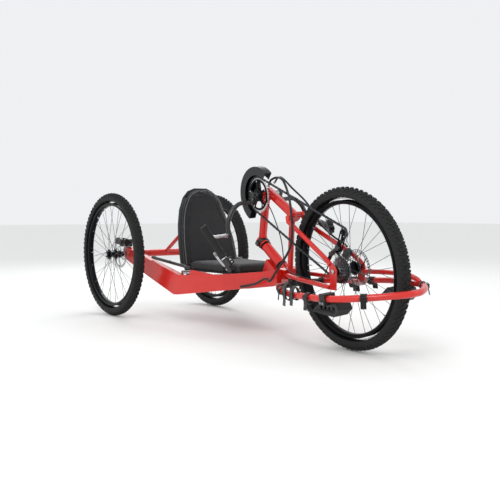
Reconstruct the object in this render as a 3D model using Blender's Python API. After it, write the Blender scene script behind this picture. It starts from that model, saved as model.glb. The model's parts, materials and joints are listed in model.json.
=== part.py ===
"""Off-road hand-cranked recumbent tricycle: two fat rear wheels, a low box-section frame with a
bucket seat, and a steered front assembly that carries the wheel, the hand cranks and the leg rails.

Vehicle coordinates: x forward from the rear axle, y to the rider's left, z up from the ground.
Everything that steers is drawn straight ahead and then turned with its parent empty."""

import math

import bmesh
import bpy
from mathutils import Matrix, Quaternion, Vector

# ---- wheels (metres) -------------------------------------------------------------------------
WHEEL_RADIUS = 0.355
WHEEL_SIDES = 32
TYRE_WIDTH = 0.058
RIM_SEAT_RADIUS = 0.2920
RIM_FLANGE_RADIUS = 0.2980
RIM_INNER_RADIUS = 0.2805
RIM_WIDTH = 0.033
REAR_TRACK = 0.711
WHEELBASE = 1.590
ROTOR_RADIUS = 0.080
ROTOR_THICKNESS = 0.0018
GAP = 0.0003

# ---- steering --------------------------------------------------------------------------------
STEER_POINT = Vector((1.040, 0.0, 0.390))
STEER_RECLINE = math.radians(36)
REST_STEER = math.radians(6.4)
STEER_AXIS = Vector((-math.cos(STEER_RECLINE), 0.0, math.sin(STEER_RECLINE)))
HEAD_TUBE_RADIUS = 0.025
HEAD_TUBE_BOTTOM = -0.088
HEAD_TUBE_TOP = 0.075
KINGPIN_RADIUS = 0.0150
CLAMP_RADIUS = 0.027

# ---- frame -----------------------------------------------------------------------------------
BEAM_WIDTH_REAR = 0.036
BEAM_WIDTH_FRONT = 0.030
BEAM_PLAN = ((-0.030, 0.250), (0.000, 0.250), (0.510, 0.236), (0.650, 0.220), (1.190, 0.085))
CROSS_TUBE_RADIUS = 0.0215
CROSS_TUBE_HEIGHT = 0.355
SEAT_RECLINE_AXIS = Vector((0.530, 0.0, 0.279))
HINGE_TUBE_RADIUS = 0.010
PAN_BOTTOM = 0.2905
PAN_THICKNESS = 0.006
CUSHION_THICKNESS = 0.042
BACK_THICKNESS = 0.046
SHELL_THICKNESS = 0.008
AXLE_TIP = 0.398
STUB_RADIUS = 0.0075

# ---- drive -----------------------------------------------------------------------------------
CRANK_CENTRE = Vector((1.020, 0.0, 0.690))
CRANK_TUBE_RADIUS = 0.011
CRANK_THROW = 0.179
HANDLE_OFFSET = 0.337
SPINDLE_RADIUS = 0.0150
HANDLE_SPINDLE_RADIUS = 0.0080
SHELL_HALF_WIDTH = 0.034
SHELL_RADIUS = 0.0215
CHAIN_PITCH = 0.0127
CHAIN_WIDTH = 0.0056
CHAIN_HALF_HEIGHT = 0.0042
CHAIN_Y = -0.0475
CHAINRING_TEETH = 42
COG_TEETH = 25
PULLEY_TEETH = 11
GUIDE_PULLEY = Vector((1.597, CHAIN_Y, 0.449))
TENSION_PULLEY = Vector((1.628, CHAIN_Y, 0.520))
HANDLE_TURN_RIGHT = math.radians(-17)
HANDLE_TURN_LEFT = math.radians(-85)
HANDLE_TILT = math.radians(23.6)

# ---- steered frame ---------------------------------------------------------------------------
MAST_RADIUS = 0.020
TOP_TUBE_RADIUS = 0.0225
DOWN_TUBE_RADIUS = 0.014
BLADE_RADIUS = 0.011
DROPOUT_INNER = 0.0775
DROPOUT_THICKNESS = 0.006
FRONT_AXLE_RADIUS = 0.006
RAIL_RADIUS = 0.014
RAIL_SIDES = 8
RAIL_SPACING = 0.06
CARRIER_RADIUS = 0.013
CARRIER_X = 1.213
RAIL_POINTS = ((1.242, 0.118, 0.2585), (1.330, 0.165, 0.262), (1.450, 0.210, 0.265),
               (1.580, 0.235, 0.273), (1.700, 0.235, 0.276), (1.800, 0.205, 0.281),
               (1.880, 0.150, 0.285), (1.940, 0.085, 0.288), (1.972, 0.030, 0.289))
RAIL_TIP = Vector((1.976, 0.0, 0.289))
UPPER_RAIL_POINTS = ((1.500, 0.160, 0.318), (1.620, 0.195, 0.318), (1.730, 0.200, 0.316),
                     (1.800, 0.188, 0.306), (1.835, 0.176, 0.292))

RED, BLACK, RUBBER, STEEL, SEAT_CLOTH = "red", "black", "rubber", "steel", "cloth"
COLOURS = {RED: ((0.58, 0.006, 0.004), 0.30, 0.0), BLACK: ((0.012, 0.012, 0.013), 0.40, 0.0),
           RUBBER: ((0.010, 0.010, 0.010), 0.80, 0.0), STEEL: ((0.55, 0.55, 0.56), 0.25, 1.0),
           SEAT_CLOTH: ((0.008, 0.008, 0.009), 0.90, 0.0)}


# ---- small helpers ---------------------------------------------------------------------------
def clear_scene():
    for thing in list(bpy.data.objects):
        bpy.data.objects.remove(thing, do_unlink=True)


def make_material(name, kind):
    colour, roughness, metallic = COLOURS[kind]
    material = bpy.data.materials.new(name)
    material.use_nodes = True
    shader = material.node_tree.nodes["Principled BSDF"]
    shader.inputs["Base Color"].default_value = (*colour, 1.0)
    shader.inputs["Roughness"].default_value = roughness
    shader.inputs["Metallic"].default_value = metallic
    material.diffuse_color = (*colour, 1.0)
    return material


class Anchor:
    """An empty that pieces hang on, with the vehicle point that its origin stands for."""

    def __init__(self, name, point, parent=None, turn=None):
        self.point = Vector(point)
        self.empty = bpy.data.objects.new(name, None)
        bpy.context.scene.collection.objects.link(self.empty)
        self.empty.rotation_mode = "QUATERNION"
        if turn is not None:
            self.empty.rotation_quaternion = turn
        if parent is None:
            self.empty.location = self.point
        else:
            self.empty.parent = parent.empty
            self.empty.location = self.point - parent.point


def add_object(name, mesh, anchor, origin, direction=None, kind=None):
    """Hang a mesh on an anchor, its local origin at a vehicle point, its +Z along direction."""
    piece = bpy.data.objects.new(name, mesh)
    bpy.context.scene.collection.objects.link(piece)
    piece.parent = anchor.empty
    piece.location = Vector(origin) - anchor.point
    if direction is not None:
        piece.rotation_mode = "QUATERNION"
        piece.rotation_quaternion = Vector((0, 0, 1)).rotation_difference(Vector(direction))
    if kind is not None:
        mesh.materials.append(make_material(name + "_finish", kind))
        mesh.shade_smooth()
        mesh.set_sharp_from_angle(angle=math.radians(35))
    else:
        piece.hide_render = True
        piece.display_type = "WIRE"
    return piece


def mesh_from(name, points, faces):
    """A mesh with its faces turned outward, from points and faces."""
    mesh = bpy.data.meshes.new(name)
    shape = bmesh.new()
    corners = [shape.verts.new(p) for p in points]
    for face in faces:
        shape.faces.new([corners[i] for i in face])
    bmesh.ops.recalc_face_normals(shape, faces=shape.faces)
    if shape.calc_volume(signed=True) < 0:
        bmesh.ops.reverse_faces(shape, faces=shape.faces)
    shape.to_mesh(mesh)
    shape.free()
    return mesh


def skin(name, loops, closed=False):
    """Skin a list of loops with equal counts; the ends are capped unless the list closes."""
    count = len(loops[0])
    points = [p for loop in loops for p in loop]
    faces = []
    for a in range(len(loops) if closed else len(loops) - 1):
        b = (a + 1) % len(loops)
        for i in range(count):
            j = (i + 1) % count
            faces.append((a * count + i, a * count + j, b * count + j, b * count + i))
    if not closed:
        faces.append(tuple(range(count)))
        faces.append(tuple((len(loops) - 1) * count + i for i in range(count)))
    return mesh_from(name, points, faces)


def lathe(name, profile, sides, phase=0.0, hollow=True):
    """Turn a closed (radius, height) outline about Z; a solid one starts and ends on the axis."""
    if hollow:
        loops = []
        for k in range(sides):
            a = phase + 2 * math.pi * k / sides
            loops.append([Vector((r * math.cos(a), r * math.sin(a), h)) for r, h in profile])
        return skin(name, loops, closed=True)
    rings = []
    for r, h in profile:
        ring = []
        for k in range(sides):
            a = phase + 2 * math.pi * k / sides
            ring.append(Vector((r * math.cos(a), r * math.sin(a), h)))
        rings.append(ring)
    return skin(name, rings)


def smooth_path(points, spacing):
    """Points along a centripetal curve through the given ones, about a spacing apart."""
    points = [Vector(p) for p in points]
    ends = [points[0] * 2 - points[1]] + points + [points[-1] * 2 - points[-2]]
    path = [points[0]]
    for i in range(len(points) - 1):
        a, b, c, d = ends[i:i + 4]
        steps = max(1, round((c - b).length / spacing))
        for k in range(1, steps + 1):
            t = k / steps
            path.append(0.5 * ((2 * b) + (c - a) * t + (2 * a - 5 * b + 4 * c - d) * t * t
                               + (3 * b - a - 3 * c + d) * t ** 3))
    return path


def tube_loops(path, radii, sides):
    """Round loops along a path, carried without twist."""
    tangents = []
    for i in range(len(path)):
        step = path[min(i + 1, len(path) - 1)] - path[max(i - 1, 0)]
        tangents.append(step.normalized())
    side = tangents[0].orthogonal().normalized()
    loops = []
    for point, tangent, radius in zip(path, tangents, radii):
        side = (side - tangent * side.dot(tangent)).normalized()
        other = tangent.cross(side)
        loop = []
        for k in range(sides):
            a = 2 * math.pi * (k + 0.5) / sides
            loop.append(point + radius * (math.cos(a) * side + math.sin(a) * other))
        loops.append(loop)
    return loops


def tube(name, points, radius, sides, anchor, kind, spacing=None, origin=None):
    """A round tube through vehicle points; with a spacing its path is a smooth curve."""
    path = smooth_path(points, spacing) if spacing else [Vector(p) for p in points]
    origin = Vector(origin) if origin is not None else path[0].copy()
    local = [p - origin for p in path]
    mesh = skin(name, tube_loops(local, [radius] * len(local), sides))
    return add_object(name, mesh, anchor, origin, kind=kind)


def cable(name, points, radius, spacing, anchor, kind, resolution=2):
    """A hose: a bevelled curve with filled caps, its points read from a smooth route."""
    path = smooth_path(points, spacing)
    curve = bpy.data.curves.new(name, "CURVE")
    curve.dimensions = "3D"
    spline = curve.splines.new("POLY")
    spline.points.add(len(path) - 1)
    for spot, point in zip(spline.points, path):
        spot.co = (*(point - path[0]), 1.0)
    curve.bevel_depth = radius
    curve.bevel_resolution = resolution
    curve.use_fill_caps = True
    piece = bpy.data.objects.new(name, curve)
    bpy.context.scene.collection.objects.link(piece)
    piece.parent = anchor.empty
    piece.location = path[0] - anchor.point
    curve.materials.append(make_material(name + "_finish", kind))
    return piece


def prism(name, outline, low, high, anchor, kind, axis="Y", origin=None):
    """A flat outline pushed through along an axis; the outline is (x, z) for Y and (x, y) for Z."""
    loops = []
    for level in (low, high):
        if axis == "Y":
            loops.append([Vector((x, level, z)) for x, z in outline])
        else:
            loops.append([Vector((x, y, level)) for x, y in outline])
    origin = Vector(origin) if origin is not None else sum(loops[0], Vector()) / len(outline)
    loops = [[p - origin for p in loop] for loop in loops]
    return add_object(name, skin(name, loops), anchor, origin, kind=kind)


def rod(name, start, end, radius, sides, anchor, kind=None):
    return tube(name, (start, end), radius, sides, anchor, kind)


def combine(target, other, operation):
    """A Boolean on the target; the other object stays as a hidden guide."""
    modifier = target.modifiers.new(operation.lower() + "_" + other.name, "BOOLEAN")
    modifier.operation = operation
    modifier.solver = "EXACT"
    modifier.object = other
    return target


def cut(target, other):
    return combine(target, other, "DIFFERENCE")


def weld(target, other):
    return combine(target, other, "UNION")


def bore_radius(shaft, sides):
    """The corner radius of a bore whose flats clear a shaft."""
    return (shaft + GAP) / math.cos(math.pi / sides)


def pitch_radius(teeth):
    return CHAIN_PITCH / (2 * math.sin(math.pi / teeth))


def between(pairs, x):
    """A straight-line value from a list of (x, value) pairs."""
    for (x0, v0), (x1, v1) in zip(pairs, pairs[1:]):
        if x <= x1:
            return v0 + (v1 - v0) * (x - x0) / (x1 - x0)
    return pairs[-1][1]


def mirrored(points, side):
    return [Vector((x, y * side, z)) for x, y, z in points]


def beam_width(x):
    return between(((-0.030, BEAM_WIDTH_REAR), (0.650, BEAM_WIDTH_REAR), (1.190, BEAM_WIDTH_FRONT)), x)


def beam_inner(x):
    return between(BEAM_PLAN, x) - beam_width(x) / 2


def beam_outer(x):
    return between(BEAM_PLAN, x) + beam_width(x) / 2


# ---- wheels ----------------------------------------------------------------------------------
ACROSS = Vector((0, 1, 0))
FLAT = 1 / math.cos(math.pi / WHEEL_SIDES)


def wheel_ring(name, half_outline, centre, anchor, kind):
    """A ring whose flats, not corners, stand at the outline's radii; the outline is mirrored in y."""
    outline = list(half_outline) + [(r, -w) for r, w in reversed(half_outline)]
    outline = [(r * FLAT, w) for r, w in outline]
    mesh = lathe(name, outline, WHEEL_SIDES, math.pi / WHEEL_SIDES)
    return add_object(name, mesh, anchor, centre, ACROSS, kind)


def make_tyre(name, centre, anchor):
    half = TYRE_WIDTH / 2
    foot = RIM_WIDTH / 2 - 0.0023
    outline = ((WHEEL_RADIUS, 0.013), (WHEEL_RADIUS - 0.007, half - 0.004), (WHEEL_RADIUS - 0.026, half),
               (RIM_FLANGE_RADIUS + 0.0008, foot), (RIM_SEAT_RADIUS + 0.0005, foot),
               (RIM_SEAT_RADIUS + 0.0005, foot - 0.0035), (WHEEL_RADIUS - 0.028, half - 0.005),
               (WHEEL_RADIUS - 0.010, 0.012))
    return wheel_ring(name, outline, centre, anchor, RUBBER)


def make_rim(name, centre, anchor):
    half = RIM_WIDTH / 2
    outline = ((RIM_SEAT_RADIUS, half - 0.0018), (RIM_FLANGE_RADIUS, half - 0.0018),
               (RIM_FLANGE_RADIUS, half), (RIM_SEAT_RADIUS - 0.004, half),
               (RIM_INNER_RADIUS, half - 0.0075))
    return wheel_ring(name, outline, centre, anchor, BLACK)


def make_rotor(name, centre, anchor, bore):
    half = ROTOR_THICKNESS / 2
    outline = ((bore, -half), (ROTOR_RADIUS, -half), (ROTOR_RADIUS, half), (bore, half))
    return add_object(name, lathe(name, outline, 24), anchor, centre, ACROSS, STEEL)


def make_hub(name, outline, bore, centre, anchor, side):
    """A hub shell from (radius, distance outward) pairs, bored for its axle."""
    closed = [(bore, outline[0][1])] + list(outline) + [(bore, outline[-1][1])]
    mesh = lathe(name, closed, 12)
    return add_object(name, mesh, anchor, centre, ACROSS * side, BLACK)


def rear_wheel(side_name, side, frame, wheel):
    centre = Vector((0, side * REAR_TRACK / 2, WHEEL_RADIUS))
    make_tyre("rear_tyre_" + side_name, centre, wheel)
    make_rim("rear_rim_" + side_name, centre, wheel)
    plane = REAR_TRACK / 2
    rotor_at = 0.3055
    shell = ((0.0160, 0.2885), (0.0160, rotor_at + 0.0012), (0.0220, rotor_at + 0.0012),
             (0.0220, 0.3120), (0.0170, 0.3150), (0.0170, 0.3320), (0.0290, 0.3330), (0.0290, 0.3370),
             (0.0150, 0.3400), (0.0150, 0.3710), (0.0290, 0.3740), (0.0290, 0.3780),
             (0.0170, 0.3800), (0.0160, 0.3910))
    bore = bore_radius(STUB_RADIUS, 12)
    make_hub("rear_hub_" + side_name, [(r, y - plane) for r, y in shell], bore, centre, wheel, side)
    rotor_bore = bore_radius(0.0160, 24)
    make_rotor("rear_rotor_" + side_name, (0, side * rotor_at, WHEEL_RADIUS), wheel, rotor_bore)

    root = beam_outer(0) + GAP
    stub = [(0.0001, root), (0.0140, root), (0.0140, 0.2882), (STUB_RADIUS, 0.2882),
            (STUB_RADIUS, 0.3913), (0.0100, 0.3913), (0.0100, AXLE_TIP - 0.0015),
            (0.0085, AXLE_TIP), (0.0001, AXLE_TIP)]
    mesh = lathe("stub_axle_" + side_name, stub[1:-1], 12, hollow=False)
    add_object("stub_axle_" + side_name, mesh, frame, (0, 0, WHEEL_RADIUS), ACROSS * side, STEEL)

    caliper = "rear_caliper_" + side_name
    top = WHEEL_RADIUS + ROTOR_RADIUS
    inner, outer = side * (rotor_at - 0.015), side * (rotor_at + 0.013)
    low, high = min(inner, outer), max(inner, outer)
    outline = ((-0.030, top - 0.020), (0.034, top - 0.026), (0.040, top + 0.002),
               (0.022, top + 0.016), (-0.022, top + 0.016), (-0.034, top - 0.002))
    body = prism(caliper, outline, low, high, frame, BLACK)
    arm_in, arm_out = side * 0.236, side * (rotor_at - 0.010)
    arm_outline = ((-0.020, 0.3985), (0.022, 0.3985), (0.022, top + 0.006), (-0.020, top + 0.006))
    arm = prism(caliper + "_arm", arm_outline, min(arm_in, arm_out), max(arm_in, arm_out), frame, None)
    weld(body, arm)
    slot = lathe(caliper + "_slot", ((ROTOR_RADIUS + 0.0025, -0.0022), (ROTOR_RADIUS + 0.0025, 0.0022)),
                 32, hollow=False)
    slot_piece = add_object(caliper + "_slot", slot, frame, (0, side * rotor_at, WHEEL_RADIUS), ACROSS)
    cut(body, slot_piece)
    return body


# ---- main frame ------------------------------------------------------------------------------
def side_beam(side_name, side, frame):
    """A tapered box beam: it drops from the rear hub to a corner under the seat and runs forward."""
    stations = (((-0.030, 0.340), (-0.030, 0.388)), ((0.000, 0.323), (0.000, 0.397)),
                ((0.250, 0.240), (0.270, 0.334)), ((0.510, 0.161), (0.560, 0.268)),
                ((0.545, 0.163), (0.650, 0.275)), ((0.870, 0.209), (0.870, 0.289)),
                ((1.165, 0.250), (1.165, 0.322)), ((1.190, 0.266), (1.190, 0.326)))
    loops = []
    for (xb, zb), (xt, zt) in stations:
        loops.append([Vector((xb, side * beam_inner(xb), zb)), Vector((xb, side * beam_outer(xb), zb)),
                      Vector((xt, side * beam_outer(xt), zt)), Vector((xt, side * beam_inner(xt), zt))])
    origin = Vector((0, side * 0.25, WHEEL_RADIUS))
    loops = [[p - origin for p in loop] for loop in loops]
    name = "side_beam_" + side_name
    beam = add_object(name, skin(name, loops), frame, origin, kind=RED)
    fin_y = side * between(BEAM_PLAN, 0.66)
    fin = prism(name + "_fin", ((0.640, 0.262), (0.790, 0.276), (0.790, 0.2865), (0.660, 0.3000),
                                (0.645, 0.2960)), fin_y - 0.004, fin_y + 0.004, frame, None)
    fin.rotation_mode = "XYZ"
    lean = math.atan2(beam_outer(0.65) - beam_outer(0.87), 0.22)
    fin.rotation_euler = (0, 0, -side * lean)
    weld(beam, fin)
    return beam


def main_frame(frame):
    for side_name, side in (("right", -1), ("left", 1)):
        side_beam(side_name, side, frame)
        x0, x1 = 0.270, 0.632
        y0 = side * between(BEAM_PLAN, x0)
        y1 = side * between(BEAM_PLAN, x1)
        rod("seat_strut_" + side_name, (x0, y0, 0.3475), (x1, y1, 0.3090), 0.009, 10, frame, BLACK)
    reach = beam_inner(CROSS_TUBE_RADIUS + 0.010) - GAP
    rod("rear_cross_tube", (0, -reach, CROSS_TUBE_HEIGHT), (0, reach, CROSS_TUBE_HEIGHT),
        CROSS_TUBE_RADIUS, 14, frame, RED)
    brace = rod("backrest_brace", (0.004, 0, CROSS_TUBE_HEIGHT + 0.005), (0.352, 0, 0.578), 0.011, 10,
                frame, RED)
    cut(brace, rod("brace_foot_cutter", (0, -0.1, CROSS_TUBE_HEIGHT), (0, 0.1, CROSS_TUBE_HEIGHT),
                   CROSS_TUBE_RADIUS + GAP, 28, frame))
    hinge_reach = beam_inner(SEAT_RECLINE_AXIS.x + 0.040) - GAP
    rod("backrest_hinge_tube", SEAT_RECLINE_AXIS + Vector((0, -hinge_reach, 0)),
        SEAT_RECLINE_AXIS + Vector((0, hinge_reach, 0)), HINGE_TUBE_RADIUS, 12, frame, STEEL)

    rear_x, front_x = 1.020, 1.085
    web = prism("neck", ((0.975, 0.272), (1.088, 0.272), (1.0960, 0.3130), (1.0200, 0.3670)),
                -0.028, 0.028, frame, RED)
    ends = ((rear_x, -beam_inner(rear_x) + GAP), (front_x, -beam_inner(front_x) + GAP),
            (front_x, beam_inner(front_x) - GAP), (rear_x, beam_inner(rear_x) - GAP))
    weld(web, prism("neck_cross_box", ends, 0.268, 0.305, frame, None, axis="Z"))
    below = STEER_POINT + STEER_AXIS * -0.2
    above = STEER_POINT + STEER_AXIS * 0.2
    cut(web, rod("neck_cutter", below, above, HEAD_TUBE_RADIUS + GAP, 40, frame))

    bore = bore_radius(KINGPIN_RADIUS, 16)
    outline = ((bore, HEAD_TUBE_BOTTOM), (HEAD_TUBE_RADIUS, HEAD_TUBE_BOTTOM),
               (HEAD_TUBE_RADIUS, HEAD_TUBE_TOP), (bore, HEAD_TUBE_TOP))
    add_object("head_tube", lathe("head_tube", outline, 20), frame, STEER_POINT, STEER_AXIS, RED)


# ---- seat ------------------------------------------------------------------------------------
BACK_STATIONS = ((0.268, 0.531, 0.182), (0.310, 0.523, 0.190), (0.430, 0.496, 0.188),
                 (0.530, 0.466, 0.172), (0.612, 0.444, 0.150), (0.680, 0.437, 0.122),
                 (0.716, 0.436, 0.090), (0.733, 0.437, 0.050))


def back_slab(name, front_offset, thickness, inset, stations, anchor, kind):
    """A cushion-like slab along the backrest's profile, each level an eight-sided outline."""
    loops = []
    for z, x, half in stations:
        front = x - front_offset
        back = front - thickness
        half = half - inset
        soft = min(thickness * 0.4, half * 0.5)
        loops.append([Vector((front, -half + soft, z)), Vector((front, half - soft, z)),
                      Vector((front - soft, half, z)), Vector((back + soft, half, z)),
                      Vector((back, half - soft, z)), Vector((back, -half + soft, z)),
                      Vector((back + soft, -half, z)), Vector((front - soft, -half, z))])
    loops = [[p - SEAT_RECLINE_AXIS for p in loop] for loop in loops]
    return add_object(name, skin(name, loops), anchor, SEAT_RECLINE_AXIS, kind=kind)


def make_seat(frame, backrest):
    outline = ((0.556, -0.190), (0.845, -0.172), (0.885, -0.125), (0.930, -0.118),
               (0.930, 0.118), (0.885, 0.125), (0.845, 0.172), (0.556, 0.190))
    prism("seat_pan", outline, PAN_BOTTOM, PAN_BOTTOM + PAN_THICKNESS, frame, BLACK, axis="Z")
    bottom = PAN_BOTTOM + PAN_THICKNESS + GAP
    loops = []
    for inset, level in ((0.004, 0), (0.0, 0.012), (0.0, 0.030), (0.012, CUSHION_THICKNESS)):
        loop = []
        for x, y in outline:
            px = x + inset if x < 0.6 else x - inset
            loop.append(Vector((px, math.copysign(abs(y) - inset, y), bottom + level)))
        loops.append(loop)
    origin = Vector((0.74, 0, bottom))
    loops = [[p - origin for p in loop] for loop in loops]
    add_object("seat_cushion", skin("seat_cushion", loops), frame, origin, kind=SEAT_CLOTH)

    back_slab("backrest_pad", 0.0, BACK_THICKNESS, 0.0, BACK_STATIONS[1:], backrest, SEAT_CLOTH)
    shell = back_slab("backrest_shell", BACK_THICKNESS + GAP, SHELL_THICKNESS, 0.006, BACK_STATIONS[1:],
                      backrest, BLACK)
    sleeve_radius = HINGE_TUBE_RADIUS + 0.006
    x, _, z = SEAT_RECLINE_AXIS
    for k, y in enumerate((-0.120, 0.120)):
        arm = ((x - 0.075, z + 0.030), (x - 0.062, z - 0.006), (x - 0.008, z - 0.012),
               (x - 0.004, z + 0.012), (x - 0.054, z + 0.016), (x - 0.0590, z + 0.050))
        weld(shell, prism("hinge_arm_%d" % k, arm, y - 0.007, y + 0.007, backrest, None))
        weld(shell, rod("hinge_sleeve_%d" % k, (x, y - 0.010, z), (x, y + 0.010, z), sleeve_radius, 16,
                        backrest))
    cut(shell, rod("hinge_bore", (x, -0.15, z), (x, 0.15, z), bore_radius(HINGE_TUBE_RADIUS, 24), 24,
                   backrest))
    return shell


# ---- steered frame ---------------------------------------------------------------------------
def steering_parts(fork):
    low = HEAD_TUBE_BOTTOM - 0.0085
    outline = ((0.0200, -0.141), (CLAMP_RADIUS, -0.137), (CLAMP_RADIUS, low), (KINGPIN_RADIUS, low),
               (KINGPIN_RADIUS, HEAD_TUBE_TOP + GAP), (CLAMP_RADIUS, HEAD_TUBE_TOP + GAP),
               (CLAMP_RADIUS, 0.122), (0.0180, 0.126))
    pivot = add_object("steering_pivot", lathe("steering_pivot", outline, 16, hollow=False), fork,
                       STEER_POINT, STEER_AXIS, RED)
    box = prism("pivot_bracket", ((1.150, 0.290), (1.200, 0.286), (1.200, 0.330), (1.160, 0.336),
                                  (1.140, 0.318)), -0.056, 0.056, fork, None)
    weld(pivot, box)

    clamp_centre = STEER_POINT + STEER_AXIS * 0.105
    mast_path = (clamp_centre, CRANK_CENTRE)
    mast = rod("mast", *mast_path, MAST_RADIUS, 14, fork, RED)
    shell_reach = ACROSS * SHELL_HALF_WIDTH
    shell = rod("mast_shell", CRANK_CENTRE - shell_reach, CRANK_CENTRE + shell_reach, SHELL_RADIUS, 16, fork)
    weld(mast, shell)
    cut(mast, rod("mast_bore", CRANK_CENTRE - ACROSS * 0.06, CRANK_CENTRE + ACROSS * 0.06,
                  bore_radius(SPINDLE_RADIUS, 20), 20, fork))
    cut(mast, rod("mast_foot_cutter", STEER_POINT - STEER_AXIS * 0.1, STEER_POINT + STEER_AXIS * 0.25,
                  CLAMP_RADIUS + GAP, 32, fork))

    rear_end = CRANK_CENTRE + Vector((0.022, 0, 0.014))
    front_end = Vector((1.252, 0, 0.574))
    top = rod("top_tube", rear_end, front_end, TOP_TUBE_RADIUS, 14, fork, RED)
    weld(top, rod("yoke_bar", (1.262, -0.022, 0.5935), (1.262, 0.022, 0.5935), 0.010, 10, fork))
    cut(top, rod("top_tube_cutter", CRANK_CENTRE - ACROSS * 0.08, CRANK_CENTRE + ACROSS * 0.08,
                 SHELL_RADIUS + GAP, 32, fork))
    mast_line = (CRANK_CENTRE - clamp_centre).normalized()
    cut(top, rod("top_tube_mast_cutter", clamp_centre, CRANK_CENTRE + mast_line * 0.02,
                 MAST_RADIUS + GAP, 28, fork))

    down = rod("down_tube", (1.1745, 0, 0.3305), (1.2180, 0, 0.580), DOWN_TUBE_RADIUS, 12, fork, RED)
    cut(down, rod("down_tube_cutter", rear_end, front_end + (front_end - rear_end).normalized() * 0.03,
                  TOP_TUBE_RADIUS + GAP, 28, fork))
    cut(down, prism("down_tube_foot_cutter", ((1.12, 0.25), (1.22, 0.25), (1.22, 0.3306), (1.200, 0.3303),
                                              (1.160, 0.3363), (1.12, 0.3363)), -0.06, 0.06, fork, None))


def fork_side(side_name, side, fork, hub):
    """One blade with its dropout plate, and the chainstay below it."""
    plate_in, plate_out = side * DROPOUT_INNER, side * (DROPOUT_INNER + DROPOUT_THICKNESS)
    plate_mid = (plate_in + plate_out) / 2
    blade_points = [Vector((1.252, side * 0.0345, 0.5935)), Vector((1.240, side * 0.044, 0.580)),
                    Vector((1.252, side * 0.050, 0.560)), Vector((1.284, side * 0.050, 0.542)),
                    Vector((1.334, side * 0.052, 0.513)), Vector((1.450, side * 0.066, 0.4535)),
                    Vector((1.545, side * 0.0785, 0.4045)), Vector((hub.x - 0.017, plate_mid, hub.z + 0.028))]
    name = "fork_blade_" + side_name
    blade = tube(name, blade_points, BLADE_RADIUS, 10, fork, RED, spacing=0.05)
    plate_outline = []
    for degrees, reach in ((-40, 0.022), (-5, 0.021), (30, 0.021), (65, 0.024), (100, 0.036),
                           (130, 0.040), (165, 0.028)):
        a = math.radians(degrees)
        plate_outline.append((hub.x + reach * math.cos(a), hub.z + reach * math.sin(a)))
    plate_outline += [(hub.x - 0.026, hub.z - 0.080), (hub.x + 0.010, hub.z - 0.080)]
    plate = prism(name + "_plate", plate_outline, min(plate_in, plate_out), max(plate_in, plate_out),
                  fork, None)
    weld(blade, plate)
    bore = rod(name + "_bore", (hub.x, -0.2, hub.z), (hub.x, 0.2, hub.z),
               bore_radius(FRONT_AXLE_RADIUS, 16), 16, fork)
    cut(blade, bore)

    stay_end = hub.x - 0.030 - GAP
    stay = tube("chainstay_" + side_name,
                ((1.2030, side * 0.0440, 0.3070), (1.260, side * 0.0560, 0.3035),
                 (1.373, side * 0.0700, 0.2980), (1.480, side * 0.0765, 0.2910),
                 (stay_end, plate_mid, 0.2860)), BLADE_RADIUS, 10, fork, RED)
    return blade, stay


def rail_loop():
    """The leg rail's centre line, from the right clamp round the wheel to the left one."""
    return mirrored(RAIL_POINTS, -1) + [RAIL_TIP] + mirrored(reversed(RAIL_POINTS), 1)


def leg_rails(fork):
    rail = tube("leg_rail", rail_loop(), RAIL_RADIUS, RAIL_SIDES, fork, RED, spacing=RAIL_SPACING)
    weld(rail, tube("upper_leg_rail", UPPER_RAIL_POINTS, 0.011, 8, fork, None, spacing=0.06))

    corner = Vector(RAIL_POINTS[0])
    inward = (Vector(RAIL_POINTS[0]) - Vector(RAIL_POINTS[1])).normalized()
    end = corner + inward * (2 * GAP)
    half = [end + inward * 0.001, end + inward * 0.010, Vector((1.2200, 0.0960, end.z)),
            Vector((CARRIER_X, 0.072, end.z))]
    path = mirrored(half, -1) + list(reversed(half))
    carrier = tube("rail_carrier", path, CARRIER_RADIUS, 10, fork, BLACK)
    weld(carrier, prism("carrier_block", ((CARRIER_X - 0.030, 0.262), (CARRIER_X + 0.006, 0.262),
                                          (CARRIER_X + 0.006, 0.2835), (CARRIER_X - 0.013, 0.2835),
                                          (CARRIER_X - 0.030, 0.2855)), -0.025, 0.025, fork, None))
    return rail


def footrest(side_name, side, fork):
    """An open-topped heel cradle clamped under the leg rail."""
    inner, outer = side * 0.150, side * 0.225
    low, high = min(inner, outer), max(inner, outer)
    name = "footrest_" + side_name
    outline = ((1.610, 0.214), (1.680, 0.208), (1.745, 0.204), (1.776, 0.232), (1.762, 0.262), (1.668, 0.262))
    cradle = prism(name, outline, low, high, fork, BLACK)
    hollow = ((1.640, 0.219), (1.680, 0.213), (1.742, 0.209), (1.769, 0.233), (1.755, 0.275), (1.675, 0.275))
    cut(cradle, prism(name + "_hollow", hollow, low + 0.005, high - 0.005, fork, None))
    clamp_in, clamp_out = side * 0.196, side * 0.254
    lug = prism(name + "_clamp", ((1.696, 0.252), (1.728, 0.252), (1.728, 0.298), (1.696, 0.298)),
                min(clamp_in, clamp_out), max(clamp_in, clamp_out), fork, None)
    weld(cradle, lug)
    groove = tube(name + "_groove", rail_loop(), RAIL_RADIUS + 0.0010, RAIL_SIDES, fork, None,
                  spacing=RAIL_SPACING)
    cut(cradle, groove)
    return cradle


# ---- drive -----------------------------------------------------------------------------------
def tangent_point(centre, radius, toward, other_radius, side, other_side):
    """The angle at which a belt leaves one circle for another; side is +1 left of travel and -1 right of it."""
    across = toward - centre
    base = math.atan2(across.y, across.x)
    return base + side * math.acos((radius - side * other_side * other_radius) / across.length)


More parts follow.
